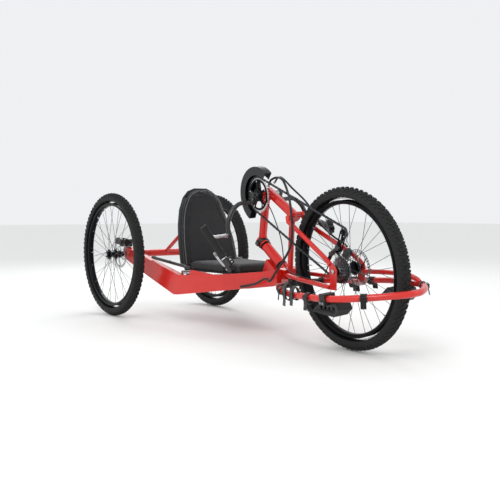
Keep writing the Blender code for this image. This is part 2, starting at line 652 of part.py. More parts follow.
def chain_path(hub):
    """The chain's loop in the (x, z) plane: ring top, tension pulley, guide pulley, cog, ring foot."""
    circles = ((Vector((CRANK_CENTRE.x, CRANK_CENTRE.z)), pitch_radius(CHAINRING_TEETH), 1),
               (Vector((TENSION_PULLEY.x, TENSION_PULLEY.z)), pitch_radius(PULLEY_TEETH), 1),
               (Vector((GUIDE_PULLEY.x, GUIDE_PULLEY.z)), pitch_radius(PULLEY_TEETH), -1),
               (Vector((hub.x, hub.z)), pitch_radius(COG_TEETH), 1))
    leave, arrive = [], []
    for k, (centre, radius, turn) in enumerate(circles):
        other, other_radius, other_turn = circles[(k + 1) % len(circles)]
        angle = tangent_point(centre, radius, other, other_radius, turn, other_turn)
        leave.append(angle)
        arrive.append(angle if turn == other_turn else angle + math.pi)
    path = []
    for k, (centre, radius, turn) in enumerate(circles):
        start, end = arrive[k - 1], leave[k]
        sweep = (start - end) % (2 * math.pi) if turn > 0 else -((end - start) % (2 * math.pi))
        step = math.radians(13) if radius > 0.06 else math.radians(20 if radius > 0.03 else 30)
        count = max(2, math.ceil(abs(sweep) / step))
        for i in range(count + 1):
            a = start - sweep * i / count
            path.append(centre + radius * Vector((math.cos(a), math.sin(a))))
    return path


def make_chain(hub, fork):
    path = chain_path(hub)
    loops = []
    for i, point in enumerate(path):
        ahead = path[(i + 1) % len(path)] - path[i - 1]
        normal = Vector((-ahead.y, ahead.x)).normalized() * CHAIN_HALF_HEIGHT
        loops.append([Vector((point.x + s * normal.x - hub.x, w, point.y + s * normal.y - hub.z))
                      for s, w in ((1, -CHAIN_WIDTH / 2), (1, CHAIN_WIDTH / 2),
                                   (-1, CHAIN_WIDTH / 2), (-1, -CHAIN_WIDTH / 2))])
    mesh = skin("chain", loops, closed=True)
    return add_object("chain", mesh, fork, (hub.x, CHAIN_Y, hub.z), kind=STEEL)


def arc_outline(radius_out, radius_in, first, last, steps, centre):
    """A ring sector's outline in (x, z), from one angle to another in degrees."""
    outline = []
    for k in range(steps + 1):
        a = math.radians(first + (last - first) * k / steps)
        outline.append((centre.x + radius_out * math.cos(a), centre.z + radius_out * math.sin(a)))
    for k in range(steps + 1):
        a = math.radians(last + (first - last) * k / steps)
        outline.append((centre.x + radius_in * math.cos(a), centre.z + radius_in * math.sin(a)))
    return outline


def make_guard(fork):
    """A channel-shaped guard round the top and rear of the chainring, held by a web plate."""
    outer, inner, wall = 0.137, 0.095, 0.0025
    near, far = -0.064, -0.026
    section = ((outer, near), (outer, far), (inner, far), (inner, far - wall),
               (outer - wall, far - wall), (outer - wall, near + wall), (inner, near + wall), (inner, near))
    loops = []
    steps = 15
    for k in range(steps + 1):
        a = math.radians(47 + (238 - 47) * k / steps)
        loops.append([Vector((r * math.cos(a), y, r * math.sin(a))) for r, y in section])
    guard = add_object("chain_guard", skin("chain_guard", loops), fork, CRANK_CENTRE, kind=BLACK)
    web = prism("guard_web", arc_outline(0.100, SHELL_RADIUS + 0.0006, 95, 215, 9, CRANK_CENTRE),
                far - wall + 0.0004, far - 0.0004, fork, None)
    weld(guard, web)
    return guard


def make_derailleur(fork):
    """Two cage plates on the pulley pins, and a knuckle that bolts inside the fork blade."""
    along = (TENSION_PULLEY - GUIDE_PULLEY).normalized()
    base = math.degrees(math.atan2(along.z, along.x))
    outline = []
    for centre, first in ((TENSION_PULLEY, base - 90), (GUIDE_PULLEY, base + 90)):
        for k in range(5):
            a = math.radians(first + 45 * k)
            outline.append((centre.x + 0.013 * math.cos(a), centre.z + 0.013 * math.sin(a)))
    plate_gap = 0.0062
    body = prism("derailleur", outline, CHAIN_Y - plate_gap - 0.0016, CHAIN_Y - plate_gap, fork, BLACK)
    weld(body, prism("cage_inner_plate", outline, CHAIN_Y + plate_gap, CHAIN_Y + plate_gap + 0.0016,
                     fork, None))
    for k, centre in enumerate((GUIDE_PULLEY, TENSION_PULLEY)):
        weld(body, rod("pulley_pin_%d" % k, centre - ACROSS * (plate_gap + 0.001),
                       centre + ACROSS * (plate_gap + 0.001), 0.003, 10, fork))
    knuckle = ((1.536, 0.404), (1.554, 0.402), (1.613, 0.436), (1.606, 0.466), (1.574, 0.468), (1.538, 0.455))
    weld(body, prism("derailleur_knuckle", knuckle, -0.0655, CHAIN_Y - plate_gap - 0.0008, fork, None))
    return body


def make_pulley(name, centre, anchor):
    side = 2 * math.pi / 12
    rim = (pitch_radius(PULLEY_TEETH) - CHAIN_HALF_HEIGHT) * math.cos(side / 2 + 0.05) - 0.0006
    bore = bore_radius(0.003, 12)
    outline = ((bore, -0.0035), (rim, -0.0035), (rim, 0.0035), (bore, 0.0035))
    return add_object(name, lathe(name, outline, 12), anchor, centre, ACROSS, BLACK)


def drive_parts(crank, front_wheel, hub):
    ring = (pitch_radius(CHAINRING_TEETH) - CHAIN_HALF_HEIGHT) * math.cos(math.radians(6.5)) - 0.0006
    bore = bore_radius(SPINDLE_RADIUS, 28)
    outline = ((bore, -0.001), (ring, -0.001), (ring, 0.001), (0.036, 0.001), (0.034, 0.008), (bore, 0.008))
    centre = CRANK_CENTRE + ACROSS * CHAIN_Y
    add_object("chainring", lathe("chainring", outline, 28), crank, centre, -ACROSS, STEEL)

    cog = (pitch_radius(COG_TEETH) - CHAIN_HALF_HEIGHT) * math.cos(math.radians(10)) - 0.0006
    driver = bore_radius(0.0170, 20)
    steps = ((0.0215, 0.0688, 0.0640), (0.0310, 0.0640, 0.0555), (cog, 0.0555, 0.0444),
             (0.0530, 0.0444, 0.0398), (0.0605, 0.0398, 0.0352))
    outline = [(driver, steps[0][1])]
    for radius, outer, inner in steps:
        outline += [(radius, outer), (radius, inner)]
    outline.append((driver, steps[-1][2]))
    add_object("cassette", lathe("cassette", outline, 20), front_wheel, hub, -ACROSS, STEEL)

    for side_name, side in (("right", -1), ("left", 1)):
        x, _, z = CRANK_CENTRE
        foot = z - CRANK_THROW
        path = [Vector((x, side * a, b)) for a, b in
                ((0.0820, z - 0.004), (0.0825, z - 0.020), (0.0940, z - 0.033), (0.1250, z - 0.033),
                 (0.1650, z - 0.036), (0.2020, z - 0.062), (0.2240, z - 0.094), (0.2360, z - 0.134),
                 (0.2355, foot - 0.001))]
        arm = tube("crank_arm_" + side_name, path, CRANK_TUBE_RADIUS, 8, crank, BLACK, spacing=0.03,
                   origin=CRANK_CENTRE)
        boss_in = 0.0700
        weld(arm, rod("crank_boss_" + side_name, (x, side * boss_in, z), (x, side * 0.0880, z), 0.0165, 12,
                      crank))
        weld(arm, rod("handle_spindle_" + side_name, (x, side * 0.2290, foot),
                      (x, side * (HANDLE_OFFSET + 0.008), foot), HANDLE_SPINDLE_RADIUS, 10, crank))
        if side < 0:
            weld(arm, rod("crank_spindle", (x, -boss_in - 0.003, z), (x, boss_in - GAP, z), SPINDLE_RADIUS,
                          16, crank))


def make_handle(side_name, side, handle, centre):
    """An upright grip on the crank's spindle, its control pod below it and the lever behind."""
    down = Vector((0, -side * math.sin(HANDLE_TILT), -math.cos(HANDLE_TILT)))
    back = Vector((-1, 0, 0))
    across = down.cross(back)
    outline = ((0.0130, -0.0640), (0.0175, -0.0590), (0.0168, 0.1050), (0.0120, 0.1080),
               (0.0120, 0.1960), (0.0100, 0.1990))
    name = "grip_" + side_name
    grip = add_object(name, lathe(name, outline, 12, hollow=False), handle, centre, down, RUBBER)
    cut(grip, rod(name + "_bore", centre - ACROSS * side * 0.045, centre + ACROSS * side * 0.0085,
                  bore_radius(HANDLE_SPINDLE_RADIUS, 12), 12, handle))

    def block(label, along, behind, wide):
        corners = []
        for s in along:
            corners.append([centre + down * s + back * b + across * w
                            for b, w in ((behind[0], wide[0]), (behind[1], wide[0]),
                                         (behind[1], wide[1]), (behind[0], wide[1]))])
        local = [[p - centre for p in loop] for loop in corners]
        return add_object(label, skin(label, local), handle, centre)

    weld(grip, block(name + "_perch", (0.150, 0.186), (-0.015, 0.0245), (-0.014, 0.014)))
    weld(grip, block(name + "_pod", (0.122, 0.158), (-0.040, 0.0100), (-0.017, 0.017)))
    return down, back


def make_lever(side_name, lever, pivot, down, back):
    """A flat lever blade that points up along the grip from its perch."""
    across = down.cross(back)
    name = "brake_lever_" + side_name
    path = ((0.008, 0.004), (-0.008, 0.004), (-0.030, 0.016), (-0.070, 0.023), (-0.098, 0.022))
    loops = []
    half_thickness, half_width = 0.0030, 0.0065
    for k, (s, b) in enumerate(path):
        ahead = Vector(path[min(k + 1, len(path) - 1)]) - Vector(path[max(k - 1, 0)])
        normal = Vector((-ahead.y, ahead.x)).normalized() * half_thickness
        loops.append([down * (s + t * normal.x) + back * (b + t * normal.y) + across * w * half_width
                      for t, w in ((1, -1), (1, 1), (-1, 1), (-1, -1))])
    return add_object(name, skin(name, loops), lever, pivot, kind=STEEL)


# ---- hoses and cables ------------------------------------------------------------------------
HOSE_LOOP = ((1.062, -0.014, 0.727), (1.082, -0.018, 0.748), (1.116, -0.030, 0.760),
             (1.194, -0.050, 0.768),
             (1.252, -0.060, 0.745), (1.302, -0.072, 0.663), (1.325, -0.084, 0.550), (1.323, -0.092, 0.483),
             (1.316, -0.104, 0.438), (1.290, -0.128, 0.384), (1.255, -0.143, 0.338))
HOSE_TAIL = ((1.172, -0.152, 0.290), (1.100, -0.150, 0.262), (1.040, -0.1490, 0.247), (0.985, -0.1600, 0.236))
HOSE_FLEX = 0.055
FRONT_HOSE = ((1.072, 0.014, 0.742), (1.124, 0.016, 0.768), (1.213, 0.020, 0.708), (1.280, 0.030, 0.655),
              (1.312, 0.046, 0.605), (1.345, 0.055, 0.550), (1.420, 0.064, 0.492), (1.488, 0.070, 0.457),
              (1.518, 0.060, 0.4505), (1.532, 0.053, 0.4460))
SHIFT_CABLE = ((1.050, -0.034, 0.668), (1.099, -0.035, 0.614), (1.138, -0.035, 0.542), (1.169, -0.038, 0.472),
               (1.180, -0.040, 0.401), (1.190, -0.045, 0.357), (1.224, -0.0520, 0.3345), (1.300, -0.0665, 0.3190),
               (1.450, -0.0745, 0.3090), (1.505, -0.0730, 0.325), (1.530, -0.0640, 0.365), (1.5405, -0.0600, 0.4005))


def make_hoses(frame, fork):
    """The long brake hose is two pieces; the stretch between them flexes as the fork turns."""
    cable("brake_hose_front_half", HOSE_LOOP, 0.0055, 0.022, fork, RUBBER)
    ahead = (Vector(HOSE_LOOP[-1]) - Vector(HOSE_LOOP[-2])).normalized()
    turn = steer_rotation()
    start = turn @ (Vector(HOSE_LOOP[-1]) + ahead * HOSE_FLEX - STEER_POINT) + STEER_POINT
    cable("brake_hose_rear_half", (start,) + HOSE_TAIL, 0.0055, 0.022, frame, RUBBER)
    cable("front_brake_hose", FRONT_HOSE, 0.0045, 0.018, fork, RUBBER)
    cable("shift_cable", SHIFT_CABLE, 0.0025, 0.012, fork, RUBBER)


# ---- assembly --------------------------------------------------------------------------------
def steer_rotation():
    """Turned to the rider's right about the reclined steering axis."""
    return Quaternion(STEER_AXIS, -REST_STEER)


def turned_bottom(hub):
    """The lowest corner of the turned front tyre."""
    turn = steer_rotation()
    lowest = 1e9
    for k in range(WHEEL_SIDES):
        a = 2 * math.pi * (k + 0.5) / WHEEL_SIDES
        for radius, width in ((WHEEL_RADIUS, 0.013), (WHEEL_RADIUS - 0.007, TYRE_WIDTH / 2 - 0.004),
                              (WHEEL_RADIUS - 0.026, TYRE_WIDTH / 2)):
            for side in (-1, 1):
                corner = hub + Vector((radius * FLAT * math.cos(a), side * width, radius * FLAT * math.sin(a)))
                lowest = min(lowest, (turn @ (corner - STEER_POINT) + STEER_POINT).z)
    return lowest


def front_hub():
    """The hub's straight-ahead place: at the wheelbase, and high enough that its tyre just stands."""
    hub = Vector((WHEELBASE, 0, WHEEL_RADIUS))
    rise = (steer_rotation() @ Vector((0, 0, 1))).z
    hub.z -= turned_bottom(hub) / rise
    return hub


def middle_of_length():
    """Half way between the rear tyres' backs and the turned leg rail's front."""
    turn = steer_rotation()
    path = smooth_path(rail_loop(), RAIL_SPACING)
    front = 0.0
    for loop in tube_loops(path, [RAIL_RADIUS] * len(path), RAIL_SIDES):
        for corner in loop:
            front = max(front, (turn @ (corner - STEER_POINT) + STEER_POINT).x)
    return (front - WHEEL_RADIUS) / 2


def build():
    clear_scene()
    hub = front_hub()
    origin = Anchor("vehicle_origin", (0, 0, 0))
    origin.empty.location = (-middle_of_length(), 0, 0)
    frame = origin
    backrest = Anchor("backrest_axis", SEAT_RECLINE_AXIS, frame)
    main_frame(frame)
    make_seat(frame, backrest)
    for side_name, side in (("right", -1), ("left", 1)):
        centre = Vector((0, side * REAR_TRACK / 2, WHEEL_RADIUS))
        rear_wheel(side_name, side, frame, Anchor("rear_wheel_axis_" + side_name, centre, frame))

    fork = Anchor("steering_axis", STEER_POINT, frame, steer_rotation())
    steering_parts(fork)
    for side_name, side in (("right", -1), ("left", 1)):
        fork_side(side_name, side, fork, hub)
        footrest(side_name, side, fork)
    leg_rails(fork)

    front_wheel = Anchor("front_wheel_axis", hub, fork)
    make_tyre("front_tyre", hub, front_wheel)
    make_rim("front_rim", hub, front_wheel)
    shell = ((0.0100, -0.0765), (0.0170, -0.0740), (0.0170, -0.0340), (0.0310, -0.0330), (0.0310, -0.0290),
             (0.0140, -0.0260), (0.0140, 0.0310), (0.0310, 0.0340), (0.0310, 0.0380), (0.0200, 0.0410),
             (0.0200, 0.0530), (0.0160, 0.0530), (0.0160, 0.0640), (0.0100, 0.0765))
    make_hub("front_hub", shell, bore_radius(FRONT_AXLE_RADIUS, 12), hub, front_wheel, 1)
    make_rotor("front_rotor", hub + ACROSS * 0.0545, front_wheel, bore_radius(0.0160, 24))
    nut_in = DROPOUT_INNER + DROPOUT_THICKNESS + GAP
    axle = ((0.0080, -0.0905), (0.0100, -0.0885), (0.0100, -nut_in), (FRONT_AXLE_RADIUS, -nut_in),
            (FRONT_AXLE_RADIUS, nut_in), (0.0100, nut_in), (0.0100, 0.0885), (0.0080, 0.0905))
    add_object("front_axle", lathe("front_axle", axle, 12, hollow=False), fork, hub, ACROSS, STEEL)

    spot = hub + Vector((-0.058, 0, 0.058))
    block = prism("front_caliper", ((spot.x - 0.030, spot.z - 0.012), (spot.x - 0.004, spot.z - 0.030),
                                    (spot.x + 0.030, spot.z + 0.008), (spot.x + 0.012, spot.z + 0.026),
                                    (spot.x - 0.014, spot.z + 0.016)), 0.0440, 0.0605, fork, BLACK)
    slot = lathe("front_caliper_slot", ((ROTOR_RADIUS + 0.0025, -0.0022), (ROTOR_RADIUS + 0.0025, 0.0022)),
                 32, hollow=False)
    cut(block, add_object("front_caliper_slot", slot, fork, hub + ACROSS * 0.0545, ACROSS))

    crank = Anchor("crank_axis", CRANK_CENTRE, fork)
    drive_parts(crank, front_wheel, hub)
    make_chain(hub, fork)
    make_guard(fork)
    make_derailleur(fork)
    make_pulley("guide_pulley", GUIDE_PULLEY, Anchor("guide_pulley_axis", GUIDE_PULLEY, fork))
    make_pulley("tension_pulley", TENSION_PULLEY, Anchor("tension_pulley_axis", TENSION_PULLEY, fork))

    for side_name, side, turn in (("right", -1, HANDLE_TURN_RIGHT), ("left", 1, HANDLE_TURN_LEFT)):
        centre = CRANK_CENTRE + Vector((0, side * HANDLE_OFFSET, -CRANK_THROW))
        handle = Anchor("handle_axis_" + side_name, centre, crank, Quaternion(ACROSS, turn))
        down, back = make_handle(side_name, side, handle, centre)
        pivot = centre + down * 0.168 + back * 0.0250
        lever = Anchor("lever_axis_" + side_name, pivot, handle)
        make_lever(side_name, lever, pivot, down, back)

    make_hoses(frame, fork)


build()
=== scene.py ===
# %% [markdown]
# # An off-road tricycle driven by hand cranks
# The rider sits between two rear wheels and lays the legs along a rail beside the front wheel.
# Two upright handles turn a chainring, and its chain drives that same front wheel.
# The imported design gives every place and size. This lesson only makes its surfaces.

# %% Load the frame and keep its box
import json
import math

import bmesh
import bpy
from mathutils import Matrix, Vector


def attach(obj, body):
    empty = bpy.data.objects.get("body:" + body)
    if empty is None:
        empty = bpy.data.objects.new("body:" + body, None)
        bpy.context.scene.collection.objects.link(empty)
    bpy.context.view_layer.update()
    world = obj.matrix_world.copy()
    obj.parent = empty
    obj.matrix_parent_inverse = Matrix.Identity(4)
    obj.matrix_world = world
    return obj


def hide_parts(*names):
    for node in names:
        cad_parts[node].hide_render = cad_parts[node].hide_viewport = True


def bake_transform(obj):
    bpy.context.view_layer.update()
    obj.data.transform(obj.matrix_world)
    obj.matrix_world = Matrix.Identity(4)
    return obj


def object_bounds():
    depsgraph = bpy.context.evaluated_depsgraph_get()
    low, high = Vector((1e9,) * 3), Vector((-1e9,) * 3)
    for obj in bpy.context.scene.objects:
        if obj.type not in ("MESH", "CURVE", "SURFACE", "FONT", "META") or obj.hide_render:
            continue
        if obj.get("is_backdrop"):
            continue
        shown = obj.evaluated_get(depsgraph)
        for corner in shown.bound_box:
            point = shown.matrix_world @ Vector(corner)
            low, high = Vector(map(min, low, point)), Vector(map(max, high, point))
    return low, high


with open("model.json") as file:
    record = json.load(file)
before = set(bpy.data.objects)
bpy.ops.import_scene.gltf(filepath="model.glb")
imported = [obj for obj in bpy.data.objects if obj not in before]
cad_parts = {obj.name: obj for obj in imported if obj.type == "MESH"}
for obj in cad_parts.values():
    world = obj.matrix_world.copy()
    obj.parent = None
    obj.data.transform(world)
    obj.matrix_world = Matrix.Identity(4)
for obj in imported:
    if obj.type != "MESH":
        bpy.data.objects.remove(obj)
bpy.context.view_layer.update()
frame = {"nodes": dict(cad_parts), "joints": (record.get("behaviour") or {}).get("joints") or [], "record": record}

# %% [markdown]
# ## Two drawing places
# A builder lays the machine out with the front wheel straight ahead, and only then turns the steering.
# So points are written from the rear axle's middle on the ground: x forward, y to the left, z up.
# One matrix moves them into the frame, and a second also turns them with the fork.

# %% Places
JOINTS = {joint["name"]: joint for joint in frame["joints"]}
REST_STEER = math.radians(6.4)
STEER_POINT = Vector(JOINTS["steering"]["pos_m"])
STEER_AXIS = Vector(JOINTS["steering"]["axis"])
ON_FRAME = Matrix.Translation((JOINTS["rear_wheel_right_spin"]["pos_m"][0], 0, 0))
ON_FORK = (Matrix.Translation(STEER_POINT) @ Matrix.Rotation(-REST_STEER, 4, STEER_AXIS)
           @ Matrix.Translation(-STEER_POINT) @ ON_FRAME)
ACROSS = Vector((0, 1, 0))


def drawn(joint, place=ON_FORK):
    """A joint's point, in the drawing's own coordinates."""
    return place.inverted() @ Vector(JOINTS[joint]["pos_m"])


HUB = drawn("front_wheel_spin")
CRANK = drawn("crank_turn")
CRANK.y = 0.0
print("front hub", [round(c, 4) for c in HUB], "crank", [round(c, 4) for c in CRANK])

# %% [markdown]
# ## The camera
# It stands low beside the front wheel, with a lens of about 51 mm, so the front wheel looks large.

# %% Camera
def placed(name, data):
    """A new object in the scene, holding the data."""
    made = bpy.data.objects.new(name, data)
    bpy.context.scene.collection.objects.link(made)
    return made


camera = placed("camera", bpy.data.cameras.new("camera"))
camera.data.lens = 50.80
camera.data.sensor_width = 36
camera.location = (2.921, -2.204, 0.599)
camera.rotation_euler = (math.radians(86.937), 0, math.radians(52.624))
bpy.context.scene.camera = camera
bpy.context.scene.view_settings.view_transform = "Standard"
print("camera", tuple(camera.location))

# %% [markdown]
# ## Studio
# A flat floor of pale paper runs out under a pale sky. Large soft lights give long, gentle highlights
# along the tubes, as a window would.

# %% Colour from hex
def linear(code, alpha=1.0):
    """An sRGB hex colour such as C81408, as linear red, green, blue and alpha."""
    parts = [int(code[i:i + 2], 16) / 255 for i in (0, 2, 4)]
    return tuple(p / 12.92 if p <= 0.04045 else ((p + 0.055) / 1.055) ** 2.4 for p in parts) + (alpha,)


print("mid grey", [round(c, 3) for c in linear("808080")])


# %% One function for every shader node
def feed(material, node, links):
    """Leads other nodes' outputs into a node's sockets, and gives the material back."""
    for key, (source, output) in links.items():
        material.node_tree.links.new(source.outputs[output], node.inputs[key])
    return material


def add_node(material, kind, settings=None, links=None):
    """Adds a node; settings are its properties or sockets, links are {socket: (node, output)}."""
    node = material.node_tree.nodes.new(kind)
    for key, value in (settings or {}).items():
        if isinstance(key, str) and hasattr(node, key):
            setattr(node, key, value)
        else:
            node.inputs[key].default_value = value
    feed(material, node, links or {})
    return node


def new_material(name, settings):
    """A material with its Principled shader, whose even values sit on the shader's own sockets."""
    material = bpy.data.materials.new(name)
    material.use_nodes = True
    shader = material.node_tree.nodes["Principled BSDF"]
    for key, value in settings.items():
        shader.inputs[key].default_value = value
    return material, shader


print("node helpers ready")

# %% Floor, world and lights
floor_material = new_material("studio_paper", {"Base Color": linear("F2F2F0"), "Roughness": 0.9})[0]
bm = bmesh.new()
bmesh.ops.create_grid(bm, x_segments=1, y_segments=1, size=30)
floor_mesh = bpy.data.meshes.new("floor")
bm.to_mesh(floor_mesh)
bm.free()
floor_mesh.materials.append(floor_material)
floor = placed("floor", floor_mesh)
floor.location.z = -0.001
floor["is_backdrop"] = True

world = bpy.data.worlds.new("studio")
world.use_nodes = True
world.node_tree.nodes["Background"].inputs["Color"].default_value = linear("F4F6F8")
world.node_tree.nodes["Background"].inputs["Strength"].default_value = 0.95
bpy.context.scene.world = world
for name, place, size, power in (("key", (2.2, -2.6, 3.2), 1.8, 60), ("fill", (3.4, 2.6, 2.2), 3.0, 15),
                                 ("back", (-3.0, 1.6, 3.0), 2.0, 50)):
    light = bpy.data.lights.new(name, "AREA")
    light.size = size
    light.energy = power
    lamp = placed(name, light)
    lamp.location = place
    lamp.rotation_euler = (Vector((0, 0, 0.3)) - Vector(place)).to_track_quat("-Z", "Y").to_euler()
print("lights placed")

# %% [markdown]
# ## Finishes
# Each finish is named for what the real one is. Pattern sizes are worked out from millimetres: a noise
# texture of scale 1 / size repeats about once in that size, because every object is drawn in metres.

# %% [markdown]
# ### Powder coat
# Coloured polyester powder is baked on steel or aluminium tube. It is an even, glossy plastic skin, IOR
# about 1.5, with a faint orange peel every 2 or 3 mm and a little dust that dulls it in patches.

# %% Powder coat and its black sister
def powder_coat(name, low, high, roughness, peel=0.0025):
    """A baked coat whose colour drifts between two near shades."""
    material, shader = new_material(name, {"IOR": 1.5, "Coat Weight": 0.35, "Coat Roughness": 0.12})
    place = add_node(material, "ShaderNodeTexCoord")
    spot = {"Vector": (place, "Object")}
    drift = add_node(material, "ShaderNodeTexNoise", {"Scale": 1 / 0.15, "Detail": 3}, spot)
    colour = add_node(material, "ShaderNodeMix", {"data_type": "RGBA", 6: linear(low), 7: linear(high)},
                      {0: (drift, "Fac")})
    dull = add_node(material, "ShaderNodeMapRange", {"To Min": roughness - 0.06,
                                                     "To Max": roughness + 0.10},
                    {"Value": (drift, "Fac")})
    skin = add_node(material, "ShaderNodeTexNoise", {"Scale": 1 / peel, "Detail": 1}, spot)
    bump = add_node(material, "ShaderNodeBump", {"Strength": 0.08, "Distance": 0.0002},
                    {"Height": (skin, "Fac")})
    return feed(material, shader, {"Base Color": (colour, 2), "Roughness": (dull, 0), "Normal": (bump, 0)})


RED = powder_coat("red_powder_coat", "BE0F05", "D61B0B", 0.30)
BLACK_COAT = powder_coat("black_powder_coat", "0B0B0C", "17181A", 0.38)
print(RED.name, BLACK_COAT.name)

# %% [markdown]
# ### Metals
# Anodised aluminium is a dyed oxide over bright metal: metallic, dark and satin. Brushed stainless steel
# keeps fine scratches about 1 mm apart here, coarser than real ones so that they show.

# %% Metals
def metal(name, colour, roughness, grain=0.001, stretch=(1, 1, 1), strength=0.15, shade=0.75):
    """A bare or dyed metal with a fine grain that varies its roughness and tone."""
    material, shader = new_material(name, {"Metallic": 1.0})
    place = add_node(material, "ShaderNodeTexCoord")
    spot = {"Vector": (place, "Object")}
    scaled = add_node(material, "ShaderNodeMapping", {"Scale": stretch}, spot)
    fine = add_node(material, "ShaderNodeTexNoise", {"Scale": 1 / grain, "Detail": 2},
                    {"Vector": (scaled, 0)})
    broad = add_node(material, "ShaderNodeTexNoise", {"Scale": 1 / 0.03, "Detail": 4}, spot)
    darker = tuple(c * shade for c in linear(colour)[:3]) + (1.0,)
    tone = add_node(material, "ShaderNodeMix", {"data_type": "RGBA", 6: darker, 7: linear(colour)},
                    {0: (broad, "Fac")})
    dull = add_node(material, "ShaderNodeMapRange", {"To Min": roughness * 0.7, "To Max": roughness * 1.4},
                    {"Value": (fine, "Fac")})
    bump = add_node(material, "ShaderNodeBump", {"Strength": strength, "Distance": 0.0001},
                    {"Height": (fine, "Fac")})
    return feed(material, shader, {"Base Color": (tone, 2), "Roughness": (dull, 0), "Normal": (bump, 0)})


ANODISED = metal("black_anodised_aluminium", "1E1F22", 0.34)
STAINLESS = metal("brushed_stainless_steel", "A9ABAE", 0.24, stretch=(1, 0.1, 1))
POLISHED = metal("polished_aluminium", "D2D3D6", 0.16)
DARK_STEEL = metal("oiled_dark_steel", "55565A", 0.32, grain=0.0015)
print(ANODISED.name, STAINLESS.name, POLISHED.name, DARK_STEEL.name)

# %% [markdown]
# ### Rubbers and plastics
# Tyre rubber is carbon black in rubber, IOR about 1.52, never quite black and dusty in its pores.
# Moulded plastic has an even spark-eroded grain of about 0.8 mm. Both differ only in a few values.

# %% Rubbers and plastics
def moulded(name, dark, pale, roughness, grain, strength):
    """A moulded surface: tiny grain in the bump and broad patches of bloom or dust in the colour."""
    material, shader = new_material(name, {"IOR": 1.52, "Specular IOR Level": 0.45})
    place = add_node(material, "ShaderNodeTexCoord")
    spot = {"Vector": (place, "Object")}
    dust = add_node(material, "ShaderNodeTexNoise", {"Scale": 1 / 0.04, "Detail": 6, "Roughness": 0.65},
                    spot)
    colour = add_node(material, "ShaderNodeMix", {"data_type": "RGBA", 6: linear(dark), 7: linear(pale)},
                      {0: (dust, "Fac")})
    dull = add_node(material, "ShaderNodeMapRange", {"To Min": roughness - 0.10,
                                                     "To Max": roughness + 0.08},
                    {"Value": (dust, "Fac")})
    pores = add_node(material, "ShaderNodeTexVoronoi", {"Scale": 1 / grain}, spot)
    bump = add_node(material, "ShaderNodeBump", {"Strength": strength, "Distance": 0.0002},
                    {"Height": (pores, "Distance")})
    return feed(material, shader, {"Base Color": (colour, 2), "Roughness": (dull, 0), "Normal": (bump, 0)})


TYRE = moulded("tyre_rubber", "0B0B0C", "191918", 0.80, 0.0020, 0.35)
HOSE = moulded("hose_jacket", "0A0A0B", "141416", 0.42, 0.0030, 0.10)
GRIP = moulded("grip_rubber", "0C0C0D", "1A1A1C", 0.66, 0.0012, 0.30)
NYLON = moulded("moulded_nylon", "0D0D0E", "1A1A1C", 0.46, 0.0008, 0.25)
print(TYRE.name, HOSE.name, GRIP.name, NYLON.name)

# %% [markdown]
# ### Cloth
# The cushions have a woven polyester cover. Its threads are far finer than a render can show, so the
# weave is drawn 2 mm apart. Two crossed wave textures are the warp and the weft, and a sheen on the
# shader's own socket is the fuzz that pales its edges. Webbing is the same cloth with coarser ribs.

# %% Cloth and webbing
def woven(name, dark, pale, pitch, strength):
    """Two sets of threads at right angles, in three directions so that every face shows them."""
    material, shader = new_material(name, {"Roughness": 0.9, "IOR": 1.45, "Sheen Weight": 0.25,
                                           "Sheen Roughness": 0.5})
    place = add_node(material, "ShaderNodeTexCoord")
    spot = {"Vector": (place, "Object")}
    heights = []
    for direction in ("X", "Y", "Z"):
        heights.append(add_node(material, "ShaderNodeTexWave",
                                {"bands_direction": direction, "Scale": 0.314 / pitch, "Distortion": 0.4},
                                spot))
    pair = add_node(material, "ShaderNodeMath", {"operation": "ADD"},
                    {0: (heights[0], "Fac"), 1: (heights[1], "Fac")})
    threads = add_node(material, "ShaderNodeMath", {"operation": "ADD"},
                       {0: (pair, 0), 1: (heights[2], "Fac")})
    wear = add_node(material, "ShaderNodeTexNoise", {"Scale": 1 / 0.05, "Detail": 5}, spot)
    colour = add_node(material, "ShaderNodeMix", {"data_type": "RGBA", 6: linear(dark), 7: linear(pale)},
                      {0: (wear, "Fac")})
    bump = add_node(material, "ShaderNodeBump", {"Strength": strength, "Distance": 0.0004},
                    {"Height": (threads, 0)})
    return feed(material, shader, {"Base Color": (colour, 2), "Normal": (bump, 0)})


CLOTH = woven("woven_polyester", "0B0B0D", "1B1B1E", 0.0020, 0.5)
WEBBING = woven("nylon_webbing", "09090A", "17171A", 0.0016, 0.7)
PIPING = woven("grey_piping", "55575A", "77797C", 0.0014, 0.3)
print(CLOTH.name, WEBBING.name, PIPING.name)

# %% [markdown]
# ## A small kit for shapes
# Nearly every piece here is one of three things: a skin over a row of loops, a tube swept along a
# path, or a profile spun about an axle. A Shape gathers any number of them for one mesh.

